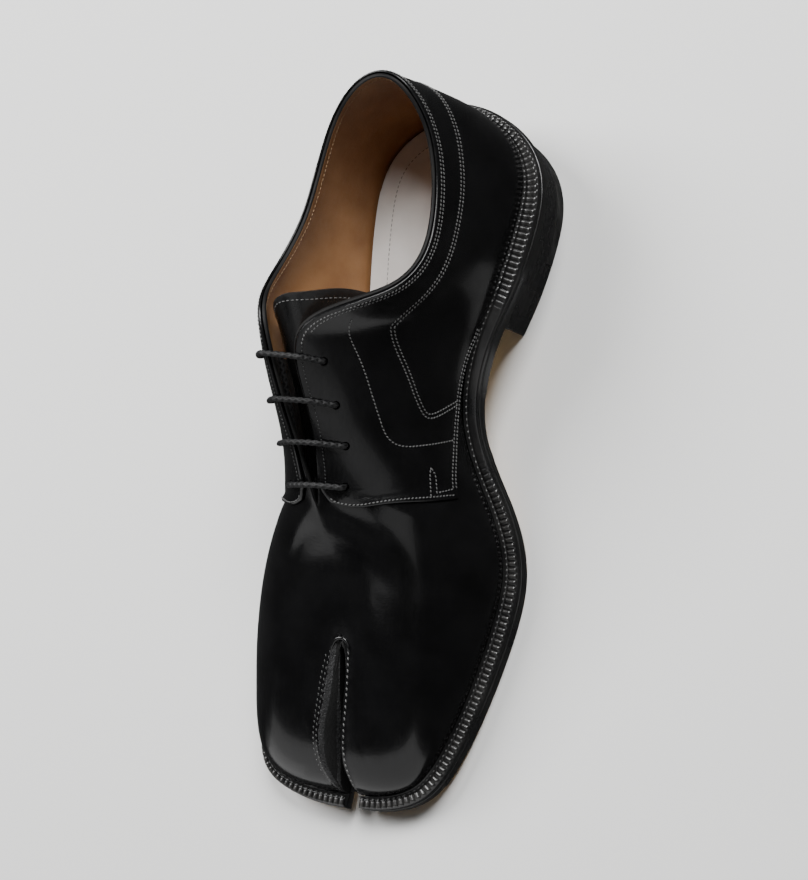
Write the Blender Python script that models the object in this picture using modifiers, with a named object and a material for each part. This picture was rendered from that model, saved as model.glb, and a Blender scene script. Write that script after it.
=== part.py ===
# Left split-toe lace-up shoe with a storm welt, built on the shape of its last.
# Lengths are in millimetres until to_frame turns them to metres.
# Across is + to the lateral side, along runs from the toe to the heel, up is +Z.
import math

import bmesh
import bpy
import numpy as np
from mathutils import Matrix, Vector

MM = 0.001
LENGTH = 287.0            # outsole, toe to heel
BALL_WIDTH = 107.0        # outsole at the ball
INSTEP_HEIGHT = 97.0      # floor to the top of the facings
HEEL_HEIGHT = 21.5        # floor to the underside of the sole at the heel
TOE_SPRING = 4.0
SPRING_END = 70.0         # the forefoot is flat from here
ARCH_START = 98.0         # to here
ARCH_END = 199.0          # the heel seat is level from here
SOLE = 5.0                # outsole thickness
GAP = 0.3                 # between pieces that meet
WALL = 1.6                # upper
QUARTER = 1.2             # overlay
QUARTER_LIFT = 0.45       # overlay off the upper
WELT_HEIGHT = 3.2
WELT_STORM = 1.4          # raised lip beside the upper
WELT_INSET = 0.4          # welt inside the outsole's edge
INSOLE = 3.0
INSOLE_START = 0.35       # stations from the cleft
TONGUE = 1.8

SLOT_ACROSS = -1.4        # middle of the cleft at the sole
SLOT_HALF = 3.4
SLOT_END = 46.0           # where the cleft stops in the sole
CLEFT_TIP_HALF = 1.5      # half width where the cleft stops in the vamp
CLEFT_SLANT = 3.0         # how far the end of the cleft leans back over the insole
CLEFT_LIFT = 0.8          # keeps the leaning end off the outsole

BREAST = 199.0            # front of the heel
BREAST_DEPTH = 6.0        # how far the heel's front is hollowed
HEEL_INSET = 0.8
HEEL_TAPER = 0.975
LIFT = 6.0
LEATHER_MEDIAL = 49.0     # length of the leather part of the lift along each side
LEATHER_LATERAL = 29.0

LACE = 2.4
HOLE_RADIUS = 2.3
HOLE_SEGMENTS = 10
HOLE_DEPTH = 9.0          # length of the cutter through both layers
HOLE_INSET = 11.5         # from the facing edge
HOLE_STATIONS = (7.16, 7.66, 8.16, 8.66)   # bottom to top
LACE_CLEAR = 1.0
HIDDEN_INSET = 5.0        # the hidden run lies this much further from the facing edge
HIDDEN_BACK = 0.15        # and stops this short of the lowest hole, in stations
TONGUE_DEPTH = 6.0        # below the upper's outer surface
TONGUE_START = 6.7        # stations
TONGUE_TOP = 8.85
TONGUE_SEWN = 0.85        # share of the tongue that lies under the facings
TONGUE_RISE = (15.0, 26.0)      # above the facings, at the medial and lateral edges
TONGUE_MEDIAL = (16.0, 19.0)    # reach to each side, at the foot and at the top
TONGUE_LATERAL = (17.0, 42.0)

# The welt's profile: share of its width from the outside, height over the outsole.
WELT_PROFILE = np.array((
    (0.0, GAP),
    (0.0, WELT_HEIGHT),
    (0.6, WELT_HEIGHT),
    (1.0, WELT_HEIGHT + WELT_STORM),
    (1.0, GAP),
))

FAN_END = 8.0             # ribs fan out from the ridge up to this station
FAN_RUN = 3.0

FLAP = 7.0                # station of the flap's front edge
FLAP_LOW = 0.33           # how far down the side the flap's corner is
FLAP_MEETS_WELT = 8.5     # station where the flap's lower edge reaches the welt
FLAP_ROUND = 0.22         # rounding of the lower facing corner, in stations
FLAP_CORNER = 0.8         # rise where the rounding starts
FLAP_SPREAD = (2.0, 4.5)  # how far the lateral and medial flaps stand back from the throat at their fronts
FLAP_SPREAD_END = 7.66    # station where they reach the facing edges

# One row for each place around the shoe, from the cleft to the back of the heel.
# Across and half widths are shares of the ball width, along of the length, height of the instep
# height; welts in mm. wall, the leans and roof shape the rib, pitch and drop its slope at the top.
COLUMNS = ("place", "lat_across", "lat_along", "med_across", "med_along", "lat_welt", "med_welt",
           "top_across", "top_along", "top_height", "top_half", "wall", "lat_lean", "med_lean", "roof",
           "pitch", "drop")
SECTIONS = (
    ("cleft", .019, .003, -.045, .001, 6.0, 6.0, -.019, .230, .443, .014, .62, .02, .02, .48, .30, 0),
    ("toe front", .131, .008, -.159, .002, 6.5, 6.0, -.021, .240, .456, 0, .62, .05, .05, .47, .32, 0),
    ("toe corner", .266, .031, -.290, .012, 7.0, 5.5, -.026, .258, .474, 0, .58, .10, .12, .45, .34, 0),
    ("toe side", .360, .087, -.421, .045, 7.5, 5.0, -.036, .282, .500, 0, .54, .16, .20, .43, .36, 0),
    ("small toe", .439, .185, -.477, .122, 8.0, 4.5, -.047, .310, .536, 0, .50, .20, .30, .42, .38, 0),
    ("ball", .497, .300, -.500, .216, 8.5, 4.5, -.061, .338, .572, 0, .48, .22, .38, .42, .40, 0),
    ("behind ball", .486, .380, -.463, .314, 8.0, 4.5, -.078, .368, .619, 0, .48, .22, .40, .42, .42, 2),
    ("throat", .407, .456, -.355, .408, 8.0, 4.5, -.101, .399, .670, 0, .46, .20, .34, .40, .42, 8),
    ("waist", .290, .557, -.257, .516, 7.0, 4.5, -.150, .512, .851, .047, .42, .14, .18, .36, .20, 35),
    ("facing top", .318, .669, -.257, .638, 7.5, 5.0, -.206, .624, 1.00, .075, .40, .10, .10, .34, 0, 50),
    ("collar front", .374, .742, -.290, .732, 9.0, 5.5, -.096, .693, .907, .236, .38, .10, .10, .32, 0, 74),
    ("collar side", .416, .829, -.318, .822, 9.5, 6.0, -.034, .784, .804, .262, .36, .10, .10, .30, 0, 82),
    ("heel corner", .402, .906, -.299, .906, 8.5, 6.0, -.020, .892, .842, .216, .36, .12, .12, .30, 0, 84),
    ("heel", .276, .969, -.168, .972, 6.5, 5.5, -.002, .957, .936, .119, .36, .14, .14, .30, 0, 86),
    ("back", .047, 1.00, .047, 1.00, 5.5, 5.5, .005, .979, .965, 0, .36, .14, .14, .30, 0, 86),
)
COLUMN = {name: np.array([row[i] for row in SECTIONS]) for i, name in enumerate(COLUMNS) if i}
PLACES = [row[0] for row in SECTIONS]
BACK = PLACES.index("back")        # last station; a place around the shoe runs from 0 to 2 * BACK
THROAT = PLACES.index("throat")

UPPER_GRID = (84, 12)
TONGUE_GRID = (8, 12)
RING_POINTS = 84
SOLE_STEP = 9.0
LACE_STEP = 3.4
CORNER_CUTS = 3


def spline(values, at):
    """A natural cubic spline through rows at 0, 1, 2 and on, read at the places given."""
    values = np.asarray(values, float)
    at = np.asarray(at, float)
    count = len(values)
    matrix = np.eye(count)
    bends = np.zeros_like(values)
    for i in range(1, count - 1):
        matrix[i, i - 1:i + 2] = (1, 4, 1)
        bends[i] = 6 * (values[i - 1] - 2 * values[i] + values[i + 1])
    bends = np.linalg.solve(matrix, bends)
    low = np.clip(np.floor(at).astype(int), 0, count - 2)
    t = at - low
    if values.ndim > 1:
        t = t[..., None]
    s = 1 - t
    return s * values[low] + t * values[low + 1] + ((s**3 - s) * bends[low] + (t**3 - t) * bends[low + 1]) / 6


def around(lateral, medial):
    """Joins the lateral rows, toe to heel, to the medial rows, heel to toe."""
    return np.concatenate([lateral, medial[-2::-1]])


EDGE = np.stack([around(COLUMN["lat_across"], COLUMN["med_across"]) * BALL_WIDTH,
                 around(COLUMN["lat_along"], COLUMN["med_along"]) * LENGTH], axis=-1)
WELT = around(COLUMN["lat_welt"], COLUMN["med_welt"])
LEAN = around(COLUMN["lat_lean"], COLUMN["med_lean"])
RIDGE = np.stack([COLUMN["top_across"] * BALL_WIDTH, COLUMN["top_along"] * LENGTH,
                  COLUMN["top_height"] * INSTEP_HEIGHT], axis=-1)
TOP_HALF = COLUMN["top_half"][:, None] * np.array([BALL_WIDTH, 0, 0])
TOP_LINE = around(RIDGE + TOP_HALF, RIDGE - TOP_HALF)


def under(along):
    """Height of the sole's underside."""
    spring = TOE_SPRING * np.clip(1 - along / SPRING_END, 0, 1) ** 2
    rise = np.clip((along - ARCH_START) / (ARCH_END - ARCH_START), 0, 1)
    return spring + HEEL_HEIGHT * rise * rise * (3 - 2 * rise)


def unit(vectors):
    return vectors / np.maximum(np.linalg.norm(vectors, axis=-1, keepdims=True), 1e-9)


def stack(*parts):
    return np.stack(np.broadcast_arrays(*parts), axis=-1)


def sole_edge(place):
    return spline(EDGE, place)


def outward(place, step=0.01):
    """Level direction out of the sole's edge."""
    run = spline(EDGE, np.asarray(place) + step) - spline(EDGE, np.asarray(place) - step)
    return unit(stack(run[..., 1], -run[..., 0]))


def feather(place):
    """Line where the upper meets the sole, a welt's width inside the edge."""
    return sole_edge(place) - spline(WELT, place)[..., None] * outward(place)


def to_station(place):
    return np.minimum(place, 2 * BACK - place)


def top_line(place):
    """The upper's top: end of the cleft, ridge of the vamp, facings and collar."""
    place = np.asarray(place, float)
    station = to_station(place)
    side = np.where(place <= BACK, 1.0, -1.0)
    ridge = spline(RIDGE[:THROAT + 1], np.clip(station, 0, THROAT))
    tip = side * CLEFT_TIP_HALF * np.sqrt(np.clip(1 - station * station, 0, 1))
    ridge = ridge + stack(tip, 0.0, 0.0)
    last = 2 * BACK - THROAT
    rear = spline(TOP_LINE[THROAT:last + 1], np.clip(place, THROAT, last) - THROAT)
    return np.where((station <= THROAT)[..., None], ridge, rear)


def surface(place, rise):
    """Outer surface of the upper: place around the shoe, rise from the sole (0) to the top line (1)."""
    place, rise = np.broadcast_arrays(np.asarray(place, float), np.asarray(rise, float))
    station = to_station(place)
    shape = {name: spline(COLUMN[name], station) for name in ("wall", "roof", "pitch", "drop")}
    foot = feather(place)
    foot = stack(foot[..., 0], foot[..., 1], under(foot[..., 1]) + SOLE + GAP)
    head = top_line(place)
    out = outward(place)
    fan = np.clip((FAN_END - station) / FAN_RUN, 0, 1)
    flat = unit(fan[..., None] * unit((foot - head)[..., :2]) + out)
    tall = (head - foot)[..., 2]
    lean = out * spline(LEAN, place)[..., None]
    wall = (shape["wall"] * tall)[..., None] * stack(lean[..., 0], lean[..., 1], 1.0)
    drop = np.radians(shape["drop"])
    level = flat * np.cos(drop)[..., None]
    fall = shape["pitch"] * level[..., 1] - np.sin(drop)
    reach = shape["roof"] * np.linalg.norm(head - foot, axis=-1)
    roof = reach[..., None] * stack(level[..., 0], level[..., 1], fall)
    t = rise[..., None]
    s = 1 - t
    return s**3 * foot + 3 * s * s * t * (foot + wall) + 3 * s * t * t * (head + roof) + t**3 * head


def normal(place, rise, step=0.004):
    """Outward direction of the upper's surface."""
    rise = np.clip(rise, step, 1 - step)
    around_run = surface(place + step, rise) - surface(place - step, rise)
    up_run = surface(place, rise + step) - surface(place, rise - step)
    return unit(np.cross(around_run, up_run))


def rise_below_top(place, inset, samples=60):
    """Rise of the points that lie an inset below the top line, measured along the rib."""
    rises = np.linspace(1, 0.2, samples)
    found = []
    for one_place, one_inset in zip(np.ravel(place), np.ravel(inset)):
        rib = surface(np.full(samples, one_place), rises)
        run = np.concatenate([[0], np.cumsum(np.linalg.norm(np.diff(rib, axis=0), axis=1))])
        found.append(np.interp(one_inset, run, rises))
    return np.reshape(found, np.shape(place))


def rise_above_welt(station_place, samples=40):
    """Rise at which the surface comes out above the welt."""
    rises = np.linspace(0, 0.4, samples)
    found = []
    for one_place in np.ravel(station_place):
        heights = surface(np.full(samples, one_place), rises)[:, 2]
        found.append(np.interp(heights[0] + WELT_HEIGHT + WELT_STORM + 2 * GAP, heights, rises))
    return np.reshape(found, np.shape(station_place))


OUTLINE = sole_edge(np.linspace(0, 2 * BACK, 600))
CENTRE = np.append((OUTLINE.max(axis=0) + OUTLINE.min(axis=0)) / 2, 0)


def to_frame(points):
    """Metres, with the middle of the sole at the origin and the toe towards -Y."""
    return (np.asarray(points, float) - CENTRE) * MM


def material(name, colour, roughness):
    made = bpy.data.materials.new(name)
    made.use_nodes = True
    shader = made.node_tree.nodes["Principled BSDF"]
    shader.inputs["Base Color"].default_value = (*colour, 1)
    shader.inputs["Roughness"].default_value = roughness
    shader.inputs["Metallic"].default_value = 0
    return made


def add_part(name, bm, finish):
    mesh = bpy.data.meshes.new(name)
    bm.to_mesh(mesh)
    bm.free()
    mesh.materials.append(finish)
    mesh.shade_smooth()
    mesh.set_sharp_from_angle(angle=math.radians(40))
    part = bpy.data.objects.new(name, mesh)
    PARTS.objects.link(part)
    return part


def grid_shares(bm, grid):
    """Makes an open grid and gives each point's two shares, 0 to 1, exactly."""
    bmesh.ops.create_grid(bm, x_segments=grid[0], y_segments=grid[1], size=0.5)
    corners = np.array([vert.co.xy for vert in bm.verts]) + 0.5
    return (np.round(corners * grid) / grid).T


def sheet(grid, place_points):
    """An open grid whose points are worked out from their shares."""
    bm = bmesh.new()
    across, up = grid_shares(bm, grid)
    for vert, point in zip(bm.verts, to_frame(place_points(across, up))):
        vert.co = point
    return bm


def slab(outline, low, high):
    """A closed solid from an outline, its two faces bent to the heights given along the shoe."""
    bm = bmesh.new()
    ring = [bm.verts.new((x, y, 0)) for x, y in outline]
    edges = [bm.edges.new((ring[i - 1], ring[i])) for i in range(len(ring))]
    faces = bmesh.ops.contextual_create(bm, geom=edges)["faces"]
    made = bmesh.ops.extrude_face_region(bm, geom=faces)["geom"]
    raised = {item for item in made if isinstance(item, bmesh.types.BMVert)}
    for vert in raised:
        vert.co.z = 1
    for along in np.arange(outline[:, 1].min() + SOLE_STEP, outline[:, 1].max() - 1, SOLE_STEP):
        bmesh.ops.bisect_plane(bm, geom=bm.verts[:] + bm.edges[:] + bm.faces[:], dist=1e-4,
                               plane_co=(0, along, 0), plane_no=(0, 1, 0))
    for vert in bm.verts:
        x, y, level = vert.co
        vert.co = to_frame((x, y, high(y) if level > 0.5 else low(y)))
    bmesh.ops.recalc_face_normals(bm, faces=bm.faces)
    return bm


def cleft_outline(inset_outline, half, end):
    """Closes an outline that is open at the toe with the sides and round end of the cleft."""
    turns = np.linspace(0, math.pi, 9)
    tip = np.stack([SLOT_ACROSS - half * np.cos(turns), end + half * np.sin(turns)], axis=-1)
    ring = np.concatenate([inset_outline, [(SLOT_ACROSS - half, inset_outline[-1][1])], tip,
                           [(SLOT_ACROSS + half, inset_outline[0][1])]])
    keep = np.linalg.norm(ring - np.roll(ring, 1, axis=0), axis=1) > 0.2
    return ring[keep]


def make_outsole():
    edge = sole_edge(np.linspace(0, 2 * BACK, RING_POINTS))
    outline = cleft_outline(edge, SLOT_HALF, SLOT_END - SLOT_HALF)
    add_part("outsole", slab(outline, under, lambda y: under(y) + SOLE),
             material("tan_sole_leather", (0.55, 0.37, 0.17), 0.55))


def make_insole():
    inset = WALL + 3 * GAP
    places = np.linspace(INSOLE_START, 2 * BACK - INSOLE_START, RING_POINTS)
    line = feather(places) - inset * outward(places)
    half = SLOT_HALF + WALL + 2 * GAP
    keep = (np.abs(line[:, 0] - SLOT_ACROSS) > half + GAP) | (line[:, 1] > SLOT_END)
    outline = cleft_outline(line[keep], half, SLOT_END - SLOT_HALF + CLEFT_SLANT)
    floor = SOLE + GAP
    add_part("insole", slab(outline, lambda y: under(y) + floor, lambda y: under(y) + floor + INSOLE),
             material("insole_sock", (0.75, 0.74, 0.73), 0.6))


def make_welt():
    """Profile of the welt carried round the sole from one side of the cleft to the other."""
    def welt_points(around_share, profile_share):
        place = around_share * 2 * BACK
        share, height = WELT_PROFILE[np.round(profile_share * sides).astype(int) % sides].T
        inner = spline(WELT, place) - 2 * GAP - spline(LEAN, place) * (WELT_HEIGHT + WELT_STORM)
        inset = WELT_INSET + share * (inner - WELT_INSET)
        flat = sole_edge(place) - inset[..., None] * outward(place)
        return stack(flat[..., 0], flat[..., 1], under(flat[..., 1]) + SOLE + height)

    sides = len(WELT_PROFILE)
    bm = sheet((RING_POINTS, sides), welt_points)
    bmesh.ops.remove_doubles(bm, verts=bm.verts, dist=1e-6)
    ends = [edge for edge in bm.edges if edge.is_boundary]
    bmesh.ops.holes_fill(bm, edges=ends, sides=8)
    bmesh.ops.recalc_face_normals(bm, faces=bm.faces)
    add_part("welt", bm, material("black_welt", (0.012, 0.012, 0.013), 0.35))


def heel_outline(inset):
    places = np.linspace(THROAT, 2 * BACK - THROAT, RING_POINTS)
    line = sole_edge(places) - inset * outward(places)
    line = line[line[:, 1] > BREAST]
    share = np.linspace(0, 1, 9)[1:-1]
    breast = line[-1] + share[:, None] * (line[0] - line[-1])
    breast[:, 1] += BREAST_DEPTH * np.sin(math.pi * share)
    return np.concatenate([line, breast])


def make_heel_stack():
    bm = slab(heel_outline(HEEL_INSET), lambda y: LIFT + GAP, lambda y: HEEL_HEIGHT - GAP)
    middle = Vector(to_frame((heel_outline(0).mean(axis=0)[0], BREAST, 0)))
    for vert in bm.verts:
        if vert.co.z < (LIFT + HEEL_HEIGHT) / 2 * MM:
            vert.co.xy = middle.xy + (vert.co.xy - middle.xy) * HEEL_TAPER
    add_part("heel_stack", bm, material("black_heel", (0.012, 0.012, 0.013), 0.3))


def make_heel_lift():
    """The top lift, cut by a slanted line into a leather front and a rubber rear."""
    outline = heel_outline(HEEL_INSET)
    middle = np.array((heel_outline(0).mean(axis=0)[0], BREAST))
    outline = middle + (outline - middle) * HEEL_TAPER
    medial = np.array((outline[:, 0].min(), BREAST + LEATHER_MEDIAL))
    lateral = np.array((outline[:, 0].max(), BREAST + LEATHER_LATERAL))
    run = unit(lateral - medial)
    back = Vector((-run[1], run[0], 0))
    on_line = Vector(to_frame((*medial, 0)))
    finishes = {"heel_lift_leather": (1, material("tan_lift_leather", (0.55, 0.37, 0.17), 0.55)),
                "heel_lift_rubber": (-1, material("black_rubber", (0.02, 0.02, 0.02), 0.7))}
    for name, (side, finish) in finishes.items():
        bm = slab(outline, lambda y: 0.0, lambda y: LIFT)
        cut = bmesh.ops.bisect_plane(bm, geom=bm.verts[:] + bm.edges[:] + bm.faces[:], dist=1e-7,
                                     plane_co=on_line - back * (side * GAP / 2 * MM),
                                     plane_no=back * side, clear_outer=True)["geom_cut"]
        rim = [item for item in cut if isinstance(item, bmesh.types.BMEdge)]
        bmesh.ops.contextual_create(bm, geom=rim)
        bmesh.ops.recalc_face_normals(bm, faces=bm.faces)
        add_part(name, bm, finish)


def solidify(part, thickness, offset):
    wall = part.modifiers.new("wall", "SOLIDIFY")
    wall.thickness = thickness * MM
    wall.offset = offset
    wall.use_rim = True


def cut_holes(part, cutter):
    cut = part.modifiers.new("lace_holes", "BOOLEAN")
    cut.operation = "DIFFERENCE"
    cut.solver = "EXACT"
    cut.object = cutter


def hole_places():
    """Place and rise of each lace hole: lateral then medial, bottom to top."""
    places = np.array([(station, 2 * BACK - station) for station in HOLE_STATIONS])
    return places, rise_below_top(places, np.full(places.shape, HOLE_INSET))


def make_hole_cutter():
    bm = bmesh.new()
    places, rises = hole_places()
    points = to_frame(surface(places, rises)).reshape(-1, 3)
    for point, way in zip(points, normal(places, rises).reshape(-1, 3)):
        turn = Vector(way).to_track_quat("Z", "Y").to_matrix().to_4x4()
        bmesh.ops.create_cone(bm, cap_ends=True, segments=HOLE_SEGMENTS, radius1=HOLE_RADIUS * MM,
                              radius2=HOLE_RADIUS * MM, depth=HOLE_DEPTH * MM,
                              matrix=Matrix.Translation(Vector(point)) @ turn)
    mesh = bpy.data.meshes.new("lace_hole_cutter")
    bm.to_mesh(mesh)
    bm.free()
    cutter = bpy.data.objects.new("lace_hole_cutter", mesh)
    cutter.hide_render = True
    cutter.display_type = "WIRE"
    CUTTERS.objects.link(cutter)
    return cutter


def make_upper(cutter):
    """Hollow upper: the last's surface, with the walls of the cleft turned down to the sole."""
    bm = bmesh.new()
    shares, rises = grid_shares(bm, UPPER_GRID)
    places = shares * 2 * BACK
    bottoms = {}
    lip = bm.verts.layers.int.new("lip")
    for vert, point, place, rise in zip(bm.verts, surface(places, rises), places, rises):
        vert.co = to_frame(point)
        station = to_station(place)
        if station == 0 or (rise == 1 and station <= 1):
            side = 1 if place < BACK else -1
            foot = feather(np.array([place if station == 0 else 0]))[0]
            angle = side * (1 - station) * math.pi / 2
            slot = np.array((SLOT_ACROSS, foot[1] + rise * (SLOT_END - SLOT_HALF - foot[1])))
            slot = slot + SLOT_HALF * np.array((math.sin(angle), math.cos(angle)))
            lift = SOLE + GAP + CLEFT_LIFT * math.cos(angle)
            bottom = point if rise == 0 else (*slot, under(slot[1]) + lift)
            vert[lip] = len(bottoms) + 1
            bottoms[vert[lip]] = to_frame(bottom)
    bmesh.ops.remove_doubles(bm, verts=bm.verts, dist=1e-6)
    lips = [edge for edge in bm.edges if edge.is_boundary and all(vert[lip] for vert in edge.verts)]
    walls = bmesh.ops.extrude_edge_only(bm, edges=lips)["geom"]
    for vert in (item for item in walls if isinstance(item, bmesh.types.BMVert)):
        vert.co = bottoms[vert[lip]]
    bmesh.ops.remove_doubles(bm, verts=bm.verts, dist=1e-6)
    bmesh.ops.recalc_face_normals(bm, faces=bm.faces)
    part = add_part("upper", bm, material("black_brushed_leather", (0.008, 0.008, 0.009), 0.12))
    solidify(part, WALL, -1)
    cut_holes(part, cutter)


def flap_low(station):
    """Rise of the quarters' lower edge: the flap's corner, then back and down to the welt."""
    share = np.clip((station - FLAP) / (FLAP_MEETS_WELT - FLAP), 0, 1)
    return FLAP_LOW * (1 - share) ** 1.5


def make_quarters(cutter):
    """Overlay over the rear of the upper, on the upper's own grid, ending in the two eyelet flaps."""
    bm = bmesh.new()
    shares, rises = grid_shares(bm, UPPER_GRID)
    places = shares * 2 * BACK
    stations = to_station(places)
    low = np.maximum(flap_low(stations), rise_above_welt(places))
    rises = np.where(rises * UPPER_GRID[1] <= np.round(low * UPPER_GRID[1]), low, rises)
    corner = np.clip((rises - FLAP_CORNER) / (1 - FLAP_CORNER), 0, 1)
    rounding = np.where(stations == FLAP, FLAP_ROUND * (1 - np.sqrt(1 - corner * corner)), 0)
    places = places + np.where(places < BACK, rounding, -rounding)
    closing = np.clip((FLAP_SPREAD_END - stations) / (FLAP_SPREAD_END - FLAP), 0, 1)
    spread = np.where(places < BACK, *FLAP_SPREAD) * closing
    top = np.where(spread > 0, rise_below_top(places, spread), 1.0)
    rises = low + (rises - low) * (top - low) / (1 - low)
    points = to_frame(surface(places, rises) + QUARTER_LIFT * normal(places, rises))
    for vert, point in zip(bm.verts, points):
        vert.co = point
    ahead = [vert for vert, station in zip(bm.verts, stations) if station < FLAP]
    bmesh.ops.delete(bm, geom=ahead, context="VERTS")
    bmesh.ops.remove_doubles(bm, verts=bm.verts, dist=1e-6)
    bmesh.ops.recalc_face_normals(bm, faces=bm.faces)
    part = add_part("quarters", bm, material("black_quarter_leather", (0.008, 0.008, 0.009), 0.12))
    solidify(part, QUARTER, 1)
    cut_holes(part, cutter)


def across_throat(station, reach):
    """Point of the last's section at a distance to either side of the throat's middle."""
    side = np.where(reach >= 0, 1.0, -1.0)
    lateral = top_line(station)
    medial = top_line(2 * BACK - station)
    half = np.linalg.norm(lateral - medial, axis=-1) / 2
    place = np.where(side > 0, station, 2 * BACK - station)
    beyond = np.maximum(np.abs(reach) - half, 0)
    on_rib = surface(place, rise_below_top(place, beyond))
    share = np.clip(reach / np.maximum(half, 1e-6), -1, 1)[..., None]
    between = (lateral + medial) / 2 + share * (lateral - medial) / 2
    return np.where((np.abs(reach) > half)[..., None], on_rib, between)


def make_tongue():
    """Sheet under the flaps that runs on past the top of the facings."""
    def tongue_points(across_share, up_share):
        station = TONGUE_START + (TONGUE_TOP - TONGUE_START) * np.minimum(up_share / TONGUE_SEWN, 1)
        medial = np.interp(up_share, (0, 1), TONGUE_MEDIAL)
        lateral = np.interp(up_share, (0, 1), TONGUE_LATERAL)
        points = across_throat(station, across_share * (medial + lateral) - medial)
        middle = across_throat(np.array([HOLE_STATIONS[-2], TONGUE_TOP]), np.zeros(2))
        beyond = np.maximum(up_share - TONGUE_SEWN, 0) / (1 - TONGUE_SEWN)
        beyond = beyond * np.interp(across_share, (0, 1), TONGUE_RISE)
        return points + beyond[:, None] * unit(middle[1] - middle[0])

    bm = sheet(TONGUE_GRID, tongue_points)
    bmesh.ops.recalc_face_normals(bm, faces=bm.faces)
    bm.normal_update()
    upward = 1 if sum(vert.normal.z for vert in bm.verts) > 0 else -1
    for vert in bm.verts:
        vert.co -= vert.normal * (upward * TONGUE_DEPTH * MM)
    if upward < 0:
        bmesh.ops.reverse_faces(bm, faces=bm.faces)
    part = add_part("tongue", bm, material("black_tongue_leather", (0.008, 0.008, 0.009), 0.15))
    solidify(part, TONGUE, -1)


def lace_route():
    """Corner points of the lace: a hidden run up the medial side, then bars and under-runs to the top."""
    places, rises = hole_places()
    over = QUARTER_LIFT + QUARTER + LACE / 2 + LACE_CLEAR
    below = -(WALL + LACE / 2 + LACE_CLEAR)

    def lifted(place, rise, height):
        return surface(place, rise) + height * normal(place, rise)

    def bar(row, first):
        """Across the facings from one hole to the other on the same level."""
        halves = [[lifted(places[row, side], rise, over) for rise in np.linspace(rises[row, side], 1, 4)]
                  for side in (first, 1 - first)]
        return halves[0] + halves[1][::-1]

    def under_run(stations, side, inset):
        """Along the inside of one facing."""
        line = stations if side == 0 else 2 * BACK - stations
        return [lifted(place, rise_below_top(place, inset), below) for place in line]

    hidden = np.linspace(HOLE_STATIONS[-1], HOLE_STATIONS[0] + HIDDEN_BACK, 6)
    route = under_run(hidden, 1, HOLE_INSET + HIDDEN_INSET)
    side = 1
    for row, station in enumerate(HOLE_STATIONS):
        if row:
            route += under_run(np.linspace(HOLE_STATIONS[row - 1], station, 5)[1:-1], side, HOLE_INSET)
        route.append(lifted(places[row, side], rises[row, side], below))
        route += bar(row, side)
        side = 1 - side
        route.append(lifted(places[row, side], rises[row, side], below))
    return np.array(route)


def cut_corners(line):
    """Rounds the corners of a line by cutting each one off a quarter of the way along."""
    first = 0.75 * line[:-1] + 0.25 * line[1:]
    second = 0.25 * line[:-1] + 0.75 * line[1:]
    inner = np.stack([first, second], axis=1).reshape(-1, 3)
    return np.concatenate([line[:1], inner, line[-1:]])


def make_lace():
    line = lace_route()
    for _ in range(CORNER_CUTS):
        line = cut_corners(line)
    runs = np.concatenate([[0], np.cumsum(np.linalg.norm(np.diff(line, axis=0), axis=1))])
    steps = np.linspace(0, runs[-1], int(runs[-1] / LACE_STEP))
    points = to_frame(np.stack([np.interp(steps, runs, line[:, i]) for i in range(3)], axis=-1))
    curve = bpy.data.curves.new("lace", "CURVE")
    curve.dimensions = "3D"
    curve.bevel_depth = LACE / 2 * MM
    curve.bevel_resolution = 2
    curve.use_fill_caps = True
    tube = curve.splines.new("POLY")
    tube.points.add(len(points) - 1)
    for point, co in zip(tube.points, points):
        point.co = (*co, 1)
    curve.materials.append(material("black_waxed_lace", (0.01, 0.01, 0.01), 0.4))
    PARTS.objects.link(bpy.data.objects.new("lace", curve))


for old in list(bpy.data.objects):
    bpy.data.objects.remove(old, do_unlink=True)
PARTS = bpy.data.collections.new("split_toe_shoe")
CUTTERS = bpy.data.collections.new("cutters")
for collection in (PARTS, CUTTERS):
    bpy.context.scene.collection.children.link(collection)

make_outsole()
make_welt()
make_heel_stack()
make_heel_lift()
make_insole()
hole_cutter = make_hole_cutter()
make_upper(hole_cutter)
make_quarters(hole_cutter)
make_tongue()
make_lace()
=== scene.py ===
import math

import bmesh
import bpy
import numpy as np
from mathutils import Matrix, Vector


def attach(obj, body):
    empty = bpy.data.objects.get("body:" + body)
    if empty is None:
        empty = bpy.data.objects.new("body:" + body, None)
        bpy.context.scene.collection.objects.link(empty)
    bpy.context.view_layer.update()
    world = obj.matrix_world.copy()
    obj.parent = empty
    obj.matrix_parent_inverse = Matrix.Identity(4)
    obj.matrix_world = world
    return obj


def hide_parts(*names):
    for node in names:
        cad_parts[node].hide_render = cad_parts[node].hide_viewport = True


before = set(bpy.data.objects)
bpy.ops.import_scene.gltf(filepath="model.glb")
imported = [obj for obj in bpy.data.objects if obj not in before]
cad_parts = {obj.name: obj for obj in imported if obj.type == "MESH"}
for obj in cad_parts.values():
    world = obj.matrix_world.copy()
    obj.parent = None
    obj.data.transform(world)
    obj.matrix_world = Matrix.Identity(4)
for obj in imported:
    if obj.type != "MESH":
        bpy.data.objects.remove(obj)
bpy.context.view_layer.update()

print("frame loaded:", ", ".join(sorted(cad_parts)))

mm = 0.001
shoe = {
    "length": 287.0, "ballWidth": 107.0, "instepHeight": 97.0, "heelHeight": 21.5,
    "toeSpring": 4.0, "springEnd": 70.0, "archStart": 98.0, "archEnd": 199.0,
    "sole": 5.0, "gap": 0.3, "wall": 1.6,
    "slotAcross": -1.4, "slotHalf": 3.4, "slotEnd": 46.0,  # the cleft in the sole
    "tipHalf": 1.5, "cleftSlant": 3.0, "cleftLift": 0.8,  # and in the upper
    "fanEnd": 8.0, "fanRun": 3.0,
}
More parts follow.
